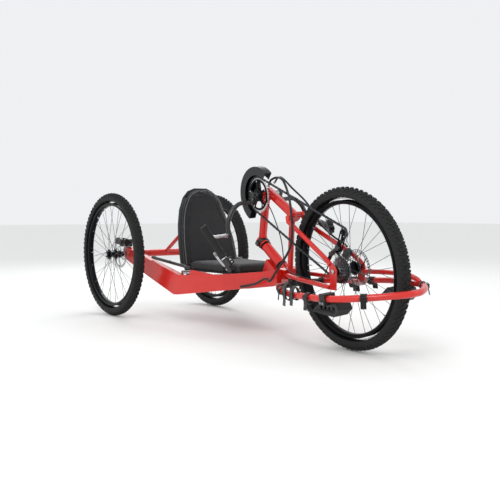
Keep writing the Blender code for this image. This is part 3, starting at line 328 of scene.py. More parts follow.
# %% Shape
class Shape:
    """Points and faces gathered for one mesh."""

    def __init__(self):
        self.points, self.faces = [], []

    def skin(self, loops, around=False):
        """Joins equal loops with quads; around also joins the last to the first, or both get caps."""
        start, count, rows = len(self.points), len(loops[0]), len(loops)
        for loop in loops:
            self.points += [Vector(p) for p in loop]
        for i in range(rows if around else rows - 1):
            a, b = start + i * count, start + (i + 1) % rows * count
            for k in range(count):
                j = (k + 1) % count
                self.faces.append((a + k, a + j, b + j, b + k))
        if not around:
            self.faces.append(tuple(range(start, start + count)))
            self.faces.append(tuple(range(start + (rows - 1) * count, start + rows * count)))
        return self

    def sweep(self, path, radius, sides=16, around=False, flat=None, up=None):
        """A tube along a path; flat is a strap's half thickness and up the way its face looks."""
        path = [Vector(p) for p in path]
        radii = radius if hasattr(radius, "__len__") else [radius] * len(path)
        side, loops = Vector(up) if up else None, []
        for i, point in enumerate(path):
            last = path[i - 1] if i or around else point
            following = path[(i + 1) % len(path)] if i + 1 < len(path) or around else point
            ahead = (following - last).normalized()
            side = side if side else ahead.orthogonal()
            side = (side - ahead * side.dot(ahead)).normalized()
            other = ahead.cross(side)
            if flat:
                corners = ((flat, -radii[i]), (flat, radii[i]), (-flat, radii[i]), (-flat, -radii[i]))
                loops.append([point + side * a + other * b for a, b in corners])
                continue
            turn = [2 * math.pi * k / sides for k in range(sides)]
            loops.append([point + (side * math.cos(a) + other * math.sin(a)) * radii[i] for a in turn])
        return self.skin(loops, around)

    def spin(self, profile, centre, axis=ACROSS, sides=64):
        """Turns a closed outline of (radius, distance along the axis) about the axis."""
        axis = Vector(axis).normalized()
        side = axis.orthogonal().normalized()
        other = axis.cross(side)
        loops = []
        for k in range(sides):
            a = 2 * math.pi * k / sides
            out = side * math.cos(a) + other * math.sin(a)
            loops.append([Vector(centre) + out * r + axis * h for r, h in profile])
        return self.skin(loops, around=True)

    def plate(self, outline, low, high):
        """An (x, z) outline pushed along y."""
        return self.skin([[Vector((x, y, z)) for x, z in outline] for y in (low, high)])

    def mesh(self, name, place):
        """The gathered points and faces as a mesh, moved by a place."""
        made = bpy.data.meshes.new(name)
        made.from_pydata([tuple(place @ p) for p in self.points], [], self.faces)
        return made

    def block(self, centre, along, across, up):
        """A box from its middle and three half edges."""
        c = Vector(centre)
        loops = [[c + up * s - along - across, c + up * s + along - across, c + up * s + along + across,
                  c + up * s - along + across] for s in (-1, 1)]
        return self.skin(loops)


print("Shape ready")


# %% From a Shape to a piece
SAME_POINT = 0.00002


def shade(mesh, sharp):
    """Makes normals point out, and smooths every edge that turns less than sharp degrees."""
    bm = bmesh.new()
    bm.from_mesh(mesh)
    bmesh.ops.recalc_face_normals(bm, faces=bm.faces)
    bm.to_mesh(mesh)
    bm.free()
    mesh.shade_smooth()
    mesh.set_sharp_from_angle(angle=math.radians(sharp))


def show(name, mesh, material, body, slot, stands_for=(), bevel=0.0, sharp=40):
    """Links a mesh as one piece, with its finish, its body and the design nodes it stands for."""
    shade(mesh, sharp)
    mesh.materials.clear()
    mesh.materials.append(material)
    made = placed(name, mesh)
    if bevel:
        soften = made.modifiers.new("soft_edges", "BEVEL")
        soften.width = bevel
        soften.segments = 2
        soften.limit_method = "ANGLE"
        soften.angle_limit = math.radians(sharp)
        soften.harden_normals = True
    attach(made, body)
    if stands_for:
        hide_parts(*stands_for)
    return made


def piece(name, shape, material, body, slot, place=ON_FORK, **more):
    """A Shape drawn in one of the two drawing places, as a finished piece."""
    return show(name, shape.mesh(name, place), material, body, slot, **more)


def design_solid(node):
    """A copy of a design solid to work on, with its corners joined."""
    bm = bmesh.new()
    bm.from_mesh(frame["nodes"][node].data)
    bmesh.ops.remove_doubles(bm, verts=bm.verts, dist=SAME_POINT)
    return bm


def refined(node, material, slot, bevel=0.0012, sharp=50):
    """The design's own solid with its flats merged, its edges rounded and its round faces smooth."""
    bm = design_solid(node)
    bmesh.ops.dissolve_limit(bm, angle_limit=math.radians(0.5), verts=bm.verts, edges=bm.edges)
    mesh = bpy.data.meshes.new(node + "_finished")
    bm.to_mesh(mesh)
    bm.free()
    body = next(b for b, names in frame["record"]["behaviour"]["bodies"].items() if node in names)
    return show(node + "_finished", mesh, material, body, slot, stands_for=(node,), bevel=bevel,
                sharp=sharp)


def curve_through(points, steps=8):
    """A smooth path through given points, by Catmull and Rom's rule."""
    points = [Vector(p) for p in points]
    ends = [2 * points[0] - points[1]] + points + [2 * points[-1] - points[-2]]
    path = []
    for a, b, c, d in zip(ends, ends[1:], ends[2:], ends[3:]):
        for k in range(steps):
            t = k / steps
            path.append(0.5 * (2 * b + (c - a) * t + (2 * a - 5 * b + 4 * c - d) * t * t
                               + (3 * b - 3 * c + d - a) * t ** 3))
    return path + [points[-1]]


def around(radius, degrees):
    """A point on a circle in the (x, z) plane."""
    a = math.radians(degrees)
    return radius * math.cos(a), radius * math.sin(a)


print("piece helpers ready")

# %% [markdown]
# ## Tyres
# A mountain tyre is a thin carcass with rows of rubber knobs. The carcass is one spun profile. Each knob
# is a tapered block that stands on it, and the rows are staggered as a real tread is.

# %% Tyre
CARCASS_AT = 0.3245
CARCASS_HIGH = 0.0245
CARCASS_HALF = 0.0268
TREAD_REPEATS = 76


def tread_frame(angle, around_section):
    """Where a knob stands: its foot, the way out, the way round and the way across."""
    a, s = math.radians(angle), math.radians(around_section)
    radial = Vector((math.cos(a), 0, math.sin(a)))
    foot = radial * (CARCASS_AT + CARCASS_HIGH * math.cos(s)) + ACROSS * CARCASS_HIGH * math.sin(s)
    out = radial * math.cos(s) + ACROSS * math.sin(s)
    round_way = Vector((-math.sin(a), 0, math.cos(a)))
    return foot, out, round_way, out.cross(round_way)


def knob(shape, angle, around_section, length, width, height):
    """One tapered block of tread, sunk a little into the carcass."""
    foot, out, round_way, cross = tread_frame(angle, around_section)
    loops = []
    for level, grow in ((-0.0015, 1.15), (height * 0.85, 0.96), (height, 0.84)):
        a, b = round_way * length / 2 * grow, cross * width / 2 * grow
        middle = foot + out * level
        loops.append([middle - a - b, middle + a - b, middle + a + b, middle - a + b])
    shape.skin(loops)


def make_tyre(name, node, centre, place, body):
    """A carcass, two moulded rings on each wall, and four rows of knobs on each side."""
    carcass = []
    for k in range(25):
        s = math.radians(-122 + 244 * k / 24)
        carcass.append((CARCASS_AT + CARCASS_HIGH * math.cos(s), CARCASS_HALF * math.sin(s)))
    inner = [(r - 0.0025 if abs(h) < 0.012 else r + 0.0005, h * 0.86) for r, h in reversed(carcass)]
    shape = Shape().spin(carcass + inner, (0, 0, 0), sides=96)
    for radius in (0.3060, 0.3100):
        for side in (-1, 1):
            height = side * CARCASS_HALF * math.sin(math.acos(max(-1,
                                                                  (radius - CARCASS_AT) / CARCASS_HIGH)))
            shape.spin([(radius - 0.0006, height), (radius + 0.0006, height),
                        (radius, height + side * 0.0006)],
                       (0, 0, 0), sides=96)
    for k in range(TREAD_REPEATS):
        step = 360 / TREAD_REPEATS
        at = step * k
        for side in (-1, 1):
            knob(shape, at + (0.25 if side > 0 else 0) * step, side * 13, 0.0105, 0.0085, 0.0058)
            knob(shape, at + 0.52 * step, side * 34, 0.0095, 0.0082, 0.0060)
            knob(shape, at + (0.10 if k % 2 else 0.0) * step, side * 55, 0.0120, 0.0090, 0.0056)
            if k % 2:
                knob(shape, at + 0.5 * step, side * 76, 0.0070, 0.0060, 0.0022)
    shift = place @ Matrix.Translation(centre)
    return piece(name, shape, TYRE, body, "tyre_rubber", place=shift, stands_for=(node,), sharp=35)


# %% [markdown]
# ## Rims and spokes
# A rim is a hollow aluminium extrusion. Thirty-two spokes of 2 mm wire leave the hub flanges nearly along
# their edge and cross three neighbours, so that they can pull the rim round as well as hold it up.

# %% Rim and spokes
RIM_HOLES = 32
SPOKE_WRAP = 67.5


def make_rim(name, node, centre, place, body):
    half = 0.0165
    outline = ((0.2900, half - 0.0022), (0.2975, half - 0.0022), (0.2985, half - 0.0010), (0.2975, half),
               (0.2890, half), (0.2850, half - 0.0025), (0.2812, half - 0.0065), (0.2800, 0.006))
    outline = list(outline) + [(r, -h) for r, h in reversed(outline)]
    shape = Shape().spin(outline, (0, 0, 0), sides=128)
    shift = place @ Matrix.Translation(centre)
    return piece(name, shape, ANODISED, body, "black_alloy", place=shift, stands_for=(node,), sharp=30)


def make_spokes(name, centre, place, body, flanges, flange_radius):
    """Wire spokes with their nipples at the rim and their bent heads in the flanges."""
    wires, nipples = Shape(), Shape()
    for k in range(RIM_HOLES):
        rim_angle = 360 / RIM_HOLES * (k + 0.5)
        side = k % 2
        way = 1 if k // 2 % 2 else -1
        hub_angle = rim_angle + way * SPOKE_WRAP
        flange = flanges[side]
        x, z = around(flange_radius, hub_angle)
        start = Vector((x, flange + way * 0.0025, z))
        x, z = around(0.2815, rim_angle)
        end = Vector((x, 0.004 if flange > sum(flanges) / 2 else -0.004, z))
        wires.sweep((start - ACROSS * way * 0.004, start, start + (end - start) * 0.03, end), 0.00115,
                    sides=6)
        ahead = (end - start).normalized()
        nipples.sweep((end - ahead * 0.014, end - ahead * 0.011, end), (0.0013, 0.0021, 0.0023), sides=8)
    stem = [Vector((x, 0, z)) for x, z in (around(r, 180) for r in (0.2810, 0.2600, 0.2590, 0.2480))]
    nipples.sweep(stem, (0.0032, 0.0032, 0.0024, 0.0022), sides=12)
    shift = place @ Matrix.Translation(centre)
    piece(name + "_spokes", wires, DARK_STEEL, body, "steel", place=shift)
    piece(name + "_nipples", nipples, POLISHED, body, "lever_alloy", place=shift)


print("wheel functions ready")

# %% [markdown]
# ## Hubs and rotors
# A hub is turned from aluminium with two flanges, whose spoke holes are left out here. The disc rotor is
# cut from 1.8 mm stainless sheet: a braking band full of slots on swept arms. Here the slots are the gaps
# between slanted ribs.

# %% Hub and rotor
def make_hub(name, node, profile, centre, place, body, way):
    shape = Shape().spin(profile, (0, 0, 0), ACROSS * way, sides=48)
    shift = place @ Matrix.Translation(centre)
    return piece(name, shape, ANODISED, body, "black_alloy", place=shift, stands_for=(node,), sharp=30)


def make_rotor(name, node, centre, place, body):
    """Rings, slanted ribs and six swept arms, all in one thin plane."""
    half, shape = 0.0009, Shape()
    for low, high in ((0.0665, 0.0690), (0.0772, 0.0800), (0.0163, 0.0215)):
        shape.spin([(low, -half), (high, -half), (high, half), (low, half)], (0, 0, 0), sides=72)
    for k in range(36):
        a = k * 10
        rib = [around(0.0680, a), around(0.0780, a + 5.5), around(0.0780, a + 9.6), around(0.0680, a + 4.4)]
        shape.plate(rib, -half * 0.96, half * 0.96)
    for k in range(6):
        a = k * 60
        arm = [around(0.0200, a), around(0.0430, a + 14), around(0.0680, a + 34), around(0.0680, a + 41),
               around(0.0430, a + 22), around(0.0200, a + 18)]
        shape.plate(arm, -half * 0.96, half * 0.96)
        x, z = around(0.0190, a + 9)
        shape.spin([(0.0005, -0.0022), (0.0022, -0.0022), (0.0022, 0.0022), (0.0005, 0.0022)], (x, 0, z),
                   sides=10)
    shift = place @ Matrix.Translation(centre)
    return piece(name, shape, STAINLESS, body, "steel", place=shift, stands_for=(node,), sharp=30)


HUB_BORE = 0.0080
REAR_HUB = ((HUB_BORE, -0.067), (0.016, -0.067), (0.016, -0.0488), (0.022, -0.0488), (0.022, -0.0435),
            (0.017, -0.0405), (0.017, -0.0235), (0.0275, -0.0228), (0.029, -0.0215), (0.029, -0.0190),
            (0.0275, -0.0180), (0.0160, -0.0150), (0.0145, 0), (0.0160, 0.0150), (0.0275, 0.0182),
            (0.029, 0.0192), (0.029, 0.0218), (0.0275, 0.0228), (0.017, 0.0245), (0.016, 0.0355),
            (HUB_BORE, 0.0355))
for side_name, side in (("right", -1), ("left", 1)):
    spin = "rear_wheel_" + side_name
    centre = drawn(spin + "_spin", ON_FRAME)
    make_tyre("tread_rear_" + side_name, "rear_tyre_" + side_name, centre, ON_FRAME, spin)
    make_rim("rim_rear_" + side_name, "rear_rim_" + side_name, centre, ON_FRAME, spin)
    make_spokes("wheel_rear_" + side_name, centre, ON_FRAME, spin, (-0.0205 * side, 0.0205 * side), 0.0265)
    make_hub("hub_rear_" + side_name, "rear_hub_" + side_name, REAR_HUB, centre, ON_FRAME, spin, side)
    make_rotor("rotor_rear_" + side_name, "rear_rotor_" + side_name, centre - ACROSS * side * 0.050,
               ON_FRAME, spin)
FRONT_HUB = ((0.0065, -0.0765), (0.0100, -0.0765), (0.0170, -0.0740), (0.0170, -0.0340), (0.0300, -0.0332),
             (0.0310, -0.0320), (0.0310, -0.0298), (0.0298, -0.0288), (0.0160, -0.0255), (0.0140, -0.0180),
             (0.0140, 0.0230), (0.0165, 0.0310), (0.0298, 0.0338), (0.0310, 0.0350), (0.0310, 0.0372),
             (0.0300, 0.0384), (0.0200, 0.0410), (0.0200, 0.0530), (0.0160, 0.0530), (0.0160, 0.0640),
             (0.0100, 0.0765), (0.0065, 0.0765))
make_tyre("tread_front", "front_tyre", HUB, ON_FORK, "front_wheel")
make_rim("rim_front", "front_rim", HUB, ON_FORK, "front_wheel")
make_spokes("wheel_front", HUB, ON_FORK, "front_wheel", (-0.031, 0.036), 0.0285)
make_hub("hub_front", "front_hub", FRONT_HUB, HUB, ON_FORK, "front_wheel", 1)
make_rotor("rotor_front", "front_rotor", HUB + ACROSS * 0.0545, ON_FORK, "front_wheel")
print("three wheels,", TREAD_REPEATS * 6, "tread knobs or more on each")

# %% [markdown]
# ## Frame tubes and beams
# The welded solids of the design already have the right shape. Each is copied, its flats are merged, and
# its edges get a small round, because a real welded and coated edge is never sharp.

# %% Refined structure
for node in ("side_beam_right", "side_beam_left"):
    refined(node, RED, "red_paint", bevel=0.0040, sharp=24)
for node in ("rear_cross_tube", "neck", "head_tube", "backrest_brace", "mast", "top_tube", "down_tube",
             "fork_blade_right", "fork_blade_left", "chainstay_right", "chainstay_left", "steering_pivot"):
    refined(node, RED, "red_paint")
for node in ("seat_strut_right", "seat_strut_left", "rear_caliper_right", "rear_caliper_left",
             "front_caliper",
             "rail_carrier"):
    refined(node, BLACK_COAT, "black_alloy")
for node in ("stub_axle_right", "stub_axle_left", "front_axle", "backrest_hinge_tube"):
    refined(node, POLISHED, "steel", bevel=0.0006)
for node in ("backrest_shell", "seat_pan"):
    refined(node, NYLON, "black_plastic", bevel=0.0010)
print("design solids refined")

# %% [markdown]
# ## Weld beads
# Where two tubes meet, a welder leaves a row of overlapping ripples. A thin bumpy ring says so at once.

# %% Weld bead
def bead(shape, centre, axis, radius, thickness=0.0022, ripples=28):
    """A closed rope of ripples about an axis."""
    axis = Vector(axis).normalized()
    side = axis.orthogonal().normalized()
    other = axis.cross(side)
    count = ripples * 4
    path, radii = [], []
    for k in range(count):
        a = 2 * math.pi * k / count
        path.append(Vector(centre) + (side * math.cos(a) + other * math.sin(a)) * radius)
        radii.append(thickness * (0.80 + 0.20 * abs(math.sin(math.pi * k / 4))))
    shape.sweep(path, radii, sides=8, around=True)


AXIS_DRAWN = Vector((-math.cos(math.radians(36)), 0, math.sin(math.radians(36))))
STEER_DRAWN = ON_FRAME.inverted() @ STEER_POINT
clamp_centre = STEER_DRAWN + AXIS_DRAWN * 0.105
mast_way = (CRANK - clamp_centre).normalized()
welds = Shape()
bead(welds, clamp_centre + mast_way * 0.0290, mast_way, 0.0202)
bead(welds, CRANK - mast_way * 0.0225, mast_way, 0.0202)
top_way = Vector((0.210, 0, -0.130)).normalized()
bead(welds, CRANK + top_way * 0.0260, top_way, 0.0225)
piece("weld_beads_fork", welds, RED, "fork", "red_paint")
frame_welds = Shape()
for side in (-1, 1):
    bead(frame_welds, (0, side * 0.2305, 0.355), ACROSS, 0.0215)
piece("weld_beads_frame", frame_welds, RED, "frame", "red_paint", place=ON_FRAME)
print("weld beads made")

# %% [markdown]
# ## Headset
# The kingpin turns in two cartridge bearings, held in the head tube by black cups with a polished lip.

# %% Headset and clamp
cups = Shape()
for along, way in ((-0.088, -1), (0.075, 1)):
    point = STEER_DRAWN + AXIS_DRAWN * along
    cups.spin([(0.0256, 0), (0.0275, 0), (0.0280, way * -0.003), (0.0275, way * -0.0100),
               (0.0256, way * -0.0105)],
              point, AXIS_DRAWN, sides=48)
piece("headset_cups", cups, ANODISED, "frame", "black_alloy", place=ON_FRAME)
clamp = Shape()
clamp.spin([(0.0272, 0.084), (0.0310, 0.085), (0.0310, 0.110), (0.0272, 0.111)], STEER_DRAWN, AXIS_DRAWN,
           sides=48)
ear = STEER_DRAWN + AXIS_DRAWN * 0.0975 + ACROSS * -0.034
clamp.block(ear, AXIS_DRAWN * 0.011, ACROSS * 0.006, Vector((AXIS_DRAWN.z, 0, -AXIS_DRAWN.x)) * 0.012)
piece("mast_clamp", clamp, BLACK_COAT, "fork", "black_alloy", bevel=0.001, sharp=30)
print("headset made")

# %% [markdown]
# ## Leg rail
# One long tube is bent round the front wheel, and a second rides above it on the left. They are swept
# again here along the design's own points, because a bend this large shows its flats.

# %% Rails
def mirrored(points, side):
    return [Vector((x, y * side, z)) for x, y, z in points]


RAIL_POINTS = ((1.242, 0.118, 0.2585), (1.330, 0.165, 0.262), (1.450, 0.210, 0.265),
               (1.580, 0.235, 0.273), (1.700, 0.235, 0.276), (1.800, 0.205, 0.281),
               (1.880, 0.150, 0.285), (1.940, 0.085, 0.288), (1.972, 0.030, 0.289))
RAIL_RADIUS = 0.014
UPPER_RAIL_POINTS = ((1.500, 0.160, 0.318), (1.620, 0.195, 0.318), (1.730, 0.200, 0.316),
                     (1.800, 0.188, 0.306), (1.835, 0.176, 0.292))
rail_line = curve_through(mirrored(RAIL_POINTS, -1) + [Vector((1.976, 0, 0.289))]
                          + list(reversed(mirrored(RAIL_POINTS, 1))))
rails = Shape().sweep(rail_line, RAIL_RADIUS, sides=24)
rails.sweep(curve_through(UPPER_RAIL_POINTS), 0.011, sides=20)
piece("leg_rails", rails, RED, "fork", "red_paint", stands_for=("leg_rail",))
collars = Shape()
for side in (-1, 1):
    end = rail_line[0] if side < 0 else rail_line[-1]
    inner = rail_line[3] if side < 0 else rail_line[-4]
    way = (inner - end).normalized()
    collars.spin([(RAIL_RADIUS, 0.0), (0.0185, 0.001), (0.0185, 0.030), (RAIL_RADIUS, 0.031)], end, way,
                 sides=32)
    collars.block(end + way * 0.0155 + Vector((0, 0, -0.021)), way * 0.011,
                  way.cross(Vector((0, 0, 1))) * 0.006,
                  Vector((0, 0, 0.0065)))
piece("rail_collars", collars, BLACK_COAT, "fork", "black_alloy", bevel=0.0008, sharp=30)
print("rail length", round(sum((b - a).length for a, b in zip(rail_line, rail_line[1:])), 3), "m")

# %% [markdown]
# ## Chain
# A bicycle chain repeats every 12.7 mm: a pair of inner plates, then a pair of outer plates, on rollers.
# Its line leaves one sprocket and meets the next along tangents, worked out as for any belt.

# %% Chain line
PITCH = 0.0127
CHAIN_Y = -0.0475
RING_TEETH, COG_TEETH, PULLEY_TEETH = 42, 25, 11
GUIDE = Vector((1.597, CHAIN_Y, 0.449))
TENSION = Vector((1.628, CHAIN_Y, 0.520))


def pitch_radius(teeth):
    return PITCH / (2 * math.sin(math.pi / teeth))


def chain_line():
    circles = ((CRANK, RING_TEETH, 1), (TENSION, PULLEY_TEETH, 1), (GUIDE, PULLEY_TEETH, -1),
               (HUB, COG_TEETH, 1))
    circles = [(Vector((c.x, c.z)), pitch_radius(teeth), turn) for c, teeth, turn in circles]
    leave, arrive, path = [], [], []
    for k, (centre, radius, turn) in enumerate(circles):
        other, other_radius, other_turn = circles[(k + 1) % 4]
        gap = other - centre
        angle = math.atan2(gap.y,
                           gap.x) + turn * math.acos((radius - turn * other_turn * other_radius) / gap.length)
        leave.append(angle)
        arrive.append(angle if turn == other_turn else angle + math.pi)
    for k, (centre, radius, turn) in enumerate(circles):
        start, end = arrive[k - 1], leave[k]
        sweep = (start - end) % (2 * math.pi) if turn > 0 else -((end - start) % (2 * math.pi))
        count = max(4, math.ceil(abs(sweep) * radius / 0.003))
        for i in range(count + 1):
            a = start - sweep * i / count
            path.append(centre + radius * Vector((math.cos(a), math.sin(a))))
    return path


def evenly(path, spacing):
    """Points along a closed path, as near to the spacing as an even count of them allows."""
    closed = path + [path[0]]
    lengths = [0]
    for a, b in zip(closed, closed[1:]):
        lengths.append(lengths[-1] + (b - a).length)
    count = 2 * round(lengths[-1] / spacing / 2)
    points, i = [], 0
    for k in range(count):
        target = lengths[-1] * k / count
        while lengths[i + 1] < target:
            i += 1
        share = (target - lengths[i]) / max(1e-9, lengths[i + 1] - lengths[i])
        points.append(closed[i].lerp(closed[i + 1], share))
    return points


pins = evenly(chain_line(), PITCH)
links = Shape()
for k, pin in enumerate(pins):
    ahead = pins[(k + 1) % len(pins)] - pin
    way = ahead.normalized()
    normal = Vector((-way.y, way.x))
    offset = 0.0021 if k % 2 else 0.0033
    outline = []
    for end, first in ((pin, 90), (pin + ahead, -90)):
        for step in range(5):
            x, z = around(0.0042, first + 45 * step)
            outline.append(end + way * x + normal * z)
    for centre_y in (CHAIN_Y - offset, CHAIN_Y + offset):
        links.plate([(p.x, p.y) for p in outline], centre_y - 0.00055, centre_y + 0.00055)
    links.spin([(0.0005, -0.0042), (0.0017, -0.0042), (0.0017, -0.0016), (0.0036, -0.0016),
                (0.0036, 0.0016),
                (0.0017, 0.0016), (0.0017, 0.0042), (0.0005, 0.0042)], (pin.x, CHAIN_Y, pin.y), sides=10)
piece("chain_links", links, DARK_STEEL, "fork", "steel", stands_for=("chain",), sharp=30)
print(len(pins), "links")

# %% [markdown]
# ## Sprockets
# A tooth rises between two rollers, so the outline swings once for each tooth. The chainring is dark with
# bright worn teeth on a five-armed spider. The cassette is a stack of steel sprockets with spacers.

# %% Sprockets
def toothed(teeth, trim=0.0):
    """A sprocket's outline about its own axis: a flat-topped tooth and a round valley for each pitch."""
    root, tip = pitch_radius(teeth) - 0.0040 - trim, pitch_radius(teeth) + 0.0030 - trim
    outline = []
    for k in range(teeth):
        for share, radius in ((0.0, root), (0.16, root + 0.0006), (0.34, tip - 0.0012), (0.44, tip),
                              (0.56, tip), (0.66, tip - 0.0012), (0.84, root + 0.0006)):
            outline.append(around(radius, 360 / teeth * (k + share)))
    return outline


def sprocket(shape, teeth, inner, low, high, trim=0.0):
    """A toothed ring with a round hole."""
    outer = toothed(teeth, trim)
    hole = [around(inner, math.degrees(math.atan2(z, x))) for x, z in outer]
    loops = []
    for (ox, oz), (ix, iz) in zip(outer, hole):
        loops.append([Vector((ix, low, iz)), Vector((ox, low, oz)), Vector((ox, high, oz)),
                      Vector((ix, high, iz))])
    shape.skin(loops, around=True)


ring_place = ON_FORK @ Matrix.Translation(CRANK + ACROSS * CHAIN_Y)
ring = Shape()
sprocket(ring, RING_TEETH, 0.0700, -0.0010, 0.0010)
piece("chainring_teeth", ring, POLISHED, "crank", "steel", place=ring_place, stands_for=("chainring",),
      sharp=30)
spider = Shape()
spider.spin([(0.0155, -0.0085), (0.0300, -0.0080), (0.0330, -0.0020), (0.0330, 0.0020), (0.0155, 0.0020)],
            (0, 0, 0), sides=48)
spider.spin([(0.0650, -0.0022), (0.0765, -0.0016), (0.0765, 0.0016), (0.0650, 0.0022)], (0, 0, 0), sides=96)
for k in range(5):
    a = 72 * k + 20
    arm = [around(0.0300, a - 17), around(0.0500, a - 7), around(0.0690, a - 5), around(0.0690, a + 5),
           around(0.0500, a + 7), around(0.0300, a + 17)]
    spider.plate(arm, -0.0045, 0.0016)
piece("chainring_spider", spider, ANODISED, "crank", "steel", place=ring_place, bevel=0.0006, sharp=30)
bolts = Shape()
for k in range(5):
    x, z = around(0.0650, 72 * k + 20)
    bolts.spin([(0.0015, -0.0062), (0.0045, -0.0058), (0.0045, 0.0026), (0.0015, 0.0026)], (x, 0, z),
               sides=16)
piece("chainring_bolts", bolts, POLISHED, "crank", "steel", place=ring_place, sharp=30)

cassette = Shape()
for k, (teeth, trim) in enumerate(((29, 0), (27, 0.0006), (25, 0), (22, 0), (19, 0), (16, 0), (13, 0))):
    level = -0.0375 - 0.0041 * k
    sprocket(cassette, teeth, 0.0178, level - 0.0009, level + 0.0009, trim)
    cassette.spin([(0.0176, level - 0.0032), (0.0215, level - 0.0032), (0.0215, level - 0.0009),
                   (0.0176, level - 0.0009)], (0, 0, 0), sides=32)
piece("cassette_sprockets", cassette, STAINLESS, "cassette", "steel",
      place=ON_FORK @ Matrix.Translation(HUB),
      stands_for=("cassette",), sharp=30)
print("chainring", RING_TEETH, "teeth and seven cassette sprockets")

# %% [markdown]
# ## Derailleur
# The chain leaves the cassette's lowest tooth through two small pulleys, held between cage plates that
# swing from a parallelogram. The plates are cut open to shed mud, and the body bolts to the dropout.

# %% Derailleur and pulleys
plates, pulley_way = Shape(), (TENSION - GUIDE).normalized()
base = math.degrees(math.atan2(pulley_way.z, pulley_way.x))
for level in (-0.0078, 0.0062):
    for centre, first in ((TENSION, base - 90), (GUIDE, base + 90)):
        outer = [around(0.0130, first + 15 * k) for k in range(13)]
        inner = [around(0.0062, first + 15 * k) for k in range(13)]
        loops = [[Vector((centre.x + a, CHAIN_Y + y, centre.z + b)) for (a, b), y in
                  ((o, level), (o, level + 0.0016), (i, level + 0.0016), (i, level))] for o,
                 i in zip(outer, inner)]
        plates.skin(loops)
    for side in (-1, 1):
        x, z = around(0.0096, base + 90 * side)
        strip = (TENSION + GUIDE) / 2 + Vector((x, level + 0.0008, z))
        half = (TENSION - GUIDE).length / 2 + 0.001
        plates.block(strip, pulley_way * half, Vector((-pulley_way.z, 0, pulley_way.x)) * 0.0034,
                     ACROSS * 0.0008)
piece("derailleur_cage", plates, ANODISED, "fork", "black_alloy", stands_for=("derailleur",), sharp=35)
for name, centre in (("guide", GUIDE), ("tension", TENSION)):
    wheel = Shape()
    for k in range(PULLEY_TEETH):
        a = 360 / PULLEY_TEETH * k
        tooth = [around(0.0140, a - 9), around(0.0206, a - 3), around(0.0206, a + 3), around(0.0140, a + 9)]
        wheel.plate(tooth, -0.0011, 0.0011)
    wheel.spin([(0.0034, -0.0035), (0.0070, -0.0035), (0.0075, -0.0012), (0.0145, -0.0012),
                (0.0145, 0.0012),
                (0.0075, 0.0012), (0.0070, 0.0035), (0.0034, 0.0035)], (0, 0, 0), sides=40)
    piece(name + "_pulley_wheel", wheel, NYLON, name + "_pulley", "black_plastic",
          place=ON_FORK @ Matrix.Translation(centre), stands_for=(name + "_pulley",), sharp=35)
swing = Shape()
for centre in (GUIDE, TENSION):
    swing.spin([(0.0004, -0.0095), (0.0030, -0.0095), (0.0030, 0.0095), (0.0004, 0.0095)], centre, sides=16)
for start, end, radius in (((1.560, -0.0600, 0.4350), (1.600, -0.0600, 0.4560), 0.0070),
                           ((1.556, -0.0600, 0.4200), (1.590, -0.0600, 0.4400), 0.0050)):
    swing.sweep((start, end), radius, sides=16)
swing.spin([(0.0004, -0.0060), (0.0120, -0.0060), (0.0120, 0.0050), (0.0100, 0.0060), (0.0004, 0.0060)],
           (1.600, -0.0600, 0.4560), sides=32)
swing.spin([(0.0004, -0.0060), (0.0105, -0.0060), (0.0105, 0.0050), (0.0090, 0.0060), (0.0004, 0.0060)],
           (1.556, -0.0600, 0.4280), sides=32)
swing.block((1.545, -0.0590, 0.4120), Vector((0.010, 0, 0.012)), ACROSS * 0.004, Vector((0.006, 0, -0.005)))
piece("derailleur_body", swing, BLACK_COAT, "fork", "black_alloy", bevel=0.0008, sharp=35)
print("derailleur made")

# %% [markdown]
# ## Chain guard
# The guard is a moulded channel that keeps sleeves off the chain. It is one section carried round the
# ring, and a web plate that reaches in to the crank's shell.

# %% Guard
section = ((0.1370, -0.0640), (0.1375, -0.0625), (0.1375, -0.0275), (0.1370, -0.0260), (0.0950, -0.0260),
           (0.0950, -0.0285), (0.1345, -0.0285), (0.1345, -0.0615), (0.0950, -0.0615), (0.0950, -0.0640))
GUARD_FROM, GUARD_TO, GUARD_STEPS = 47, 238, 60
loops = []
for k in range(GUARD_STEPS + 1):
    a = math.radians(GUARD_FROM + (GUARD_TO - GUARD_FROM) * k / GUARD_STEPS)
    loops.append([CRANK + Vector((r * math.cos(a), y, r * math.sin(a))) for r, y in section])
guard = Shape().skin(loops)
web = [around(0.0985, 95 + 2 * k) for k in range(61)] + [around(0.0222, 215 - 4 * k) for k in range(31)]
guard.plate([(CRANK.x + x, CRANK.z + z) for x, z in web], -0.0281, -0.0264)
piece("guard_channel", guard, NYLON, "fork", "black_plastic", stands_for=("chain_guard",), bevel=0.0005,
      sharp=30)
print("guard made")

# %% [markdown]
# ## Cranks, grips and levers
# A hand crank is bent outward so that the hands pass each side of the frame. The handle turns freely on a
# spindle at its end: a ribbed rubber grip, with a control pod and a brake lever below it.

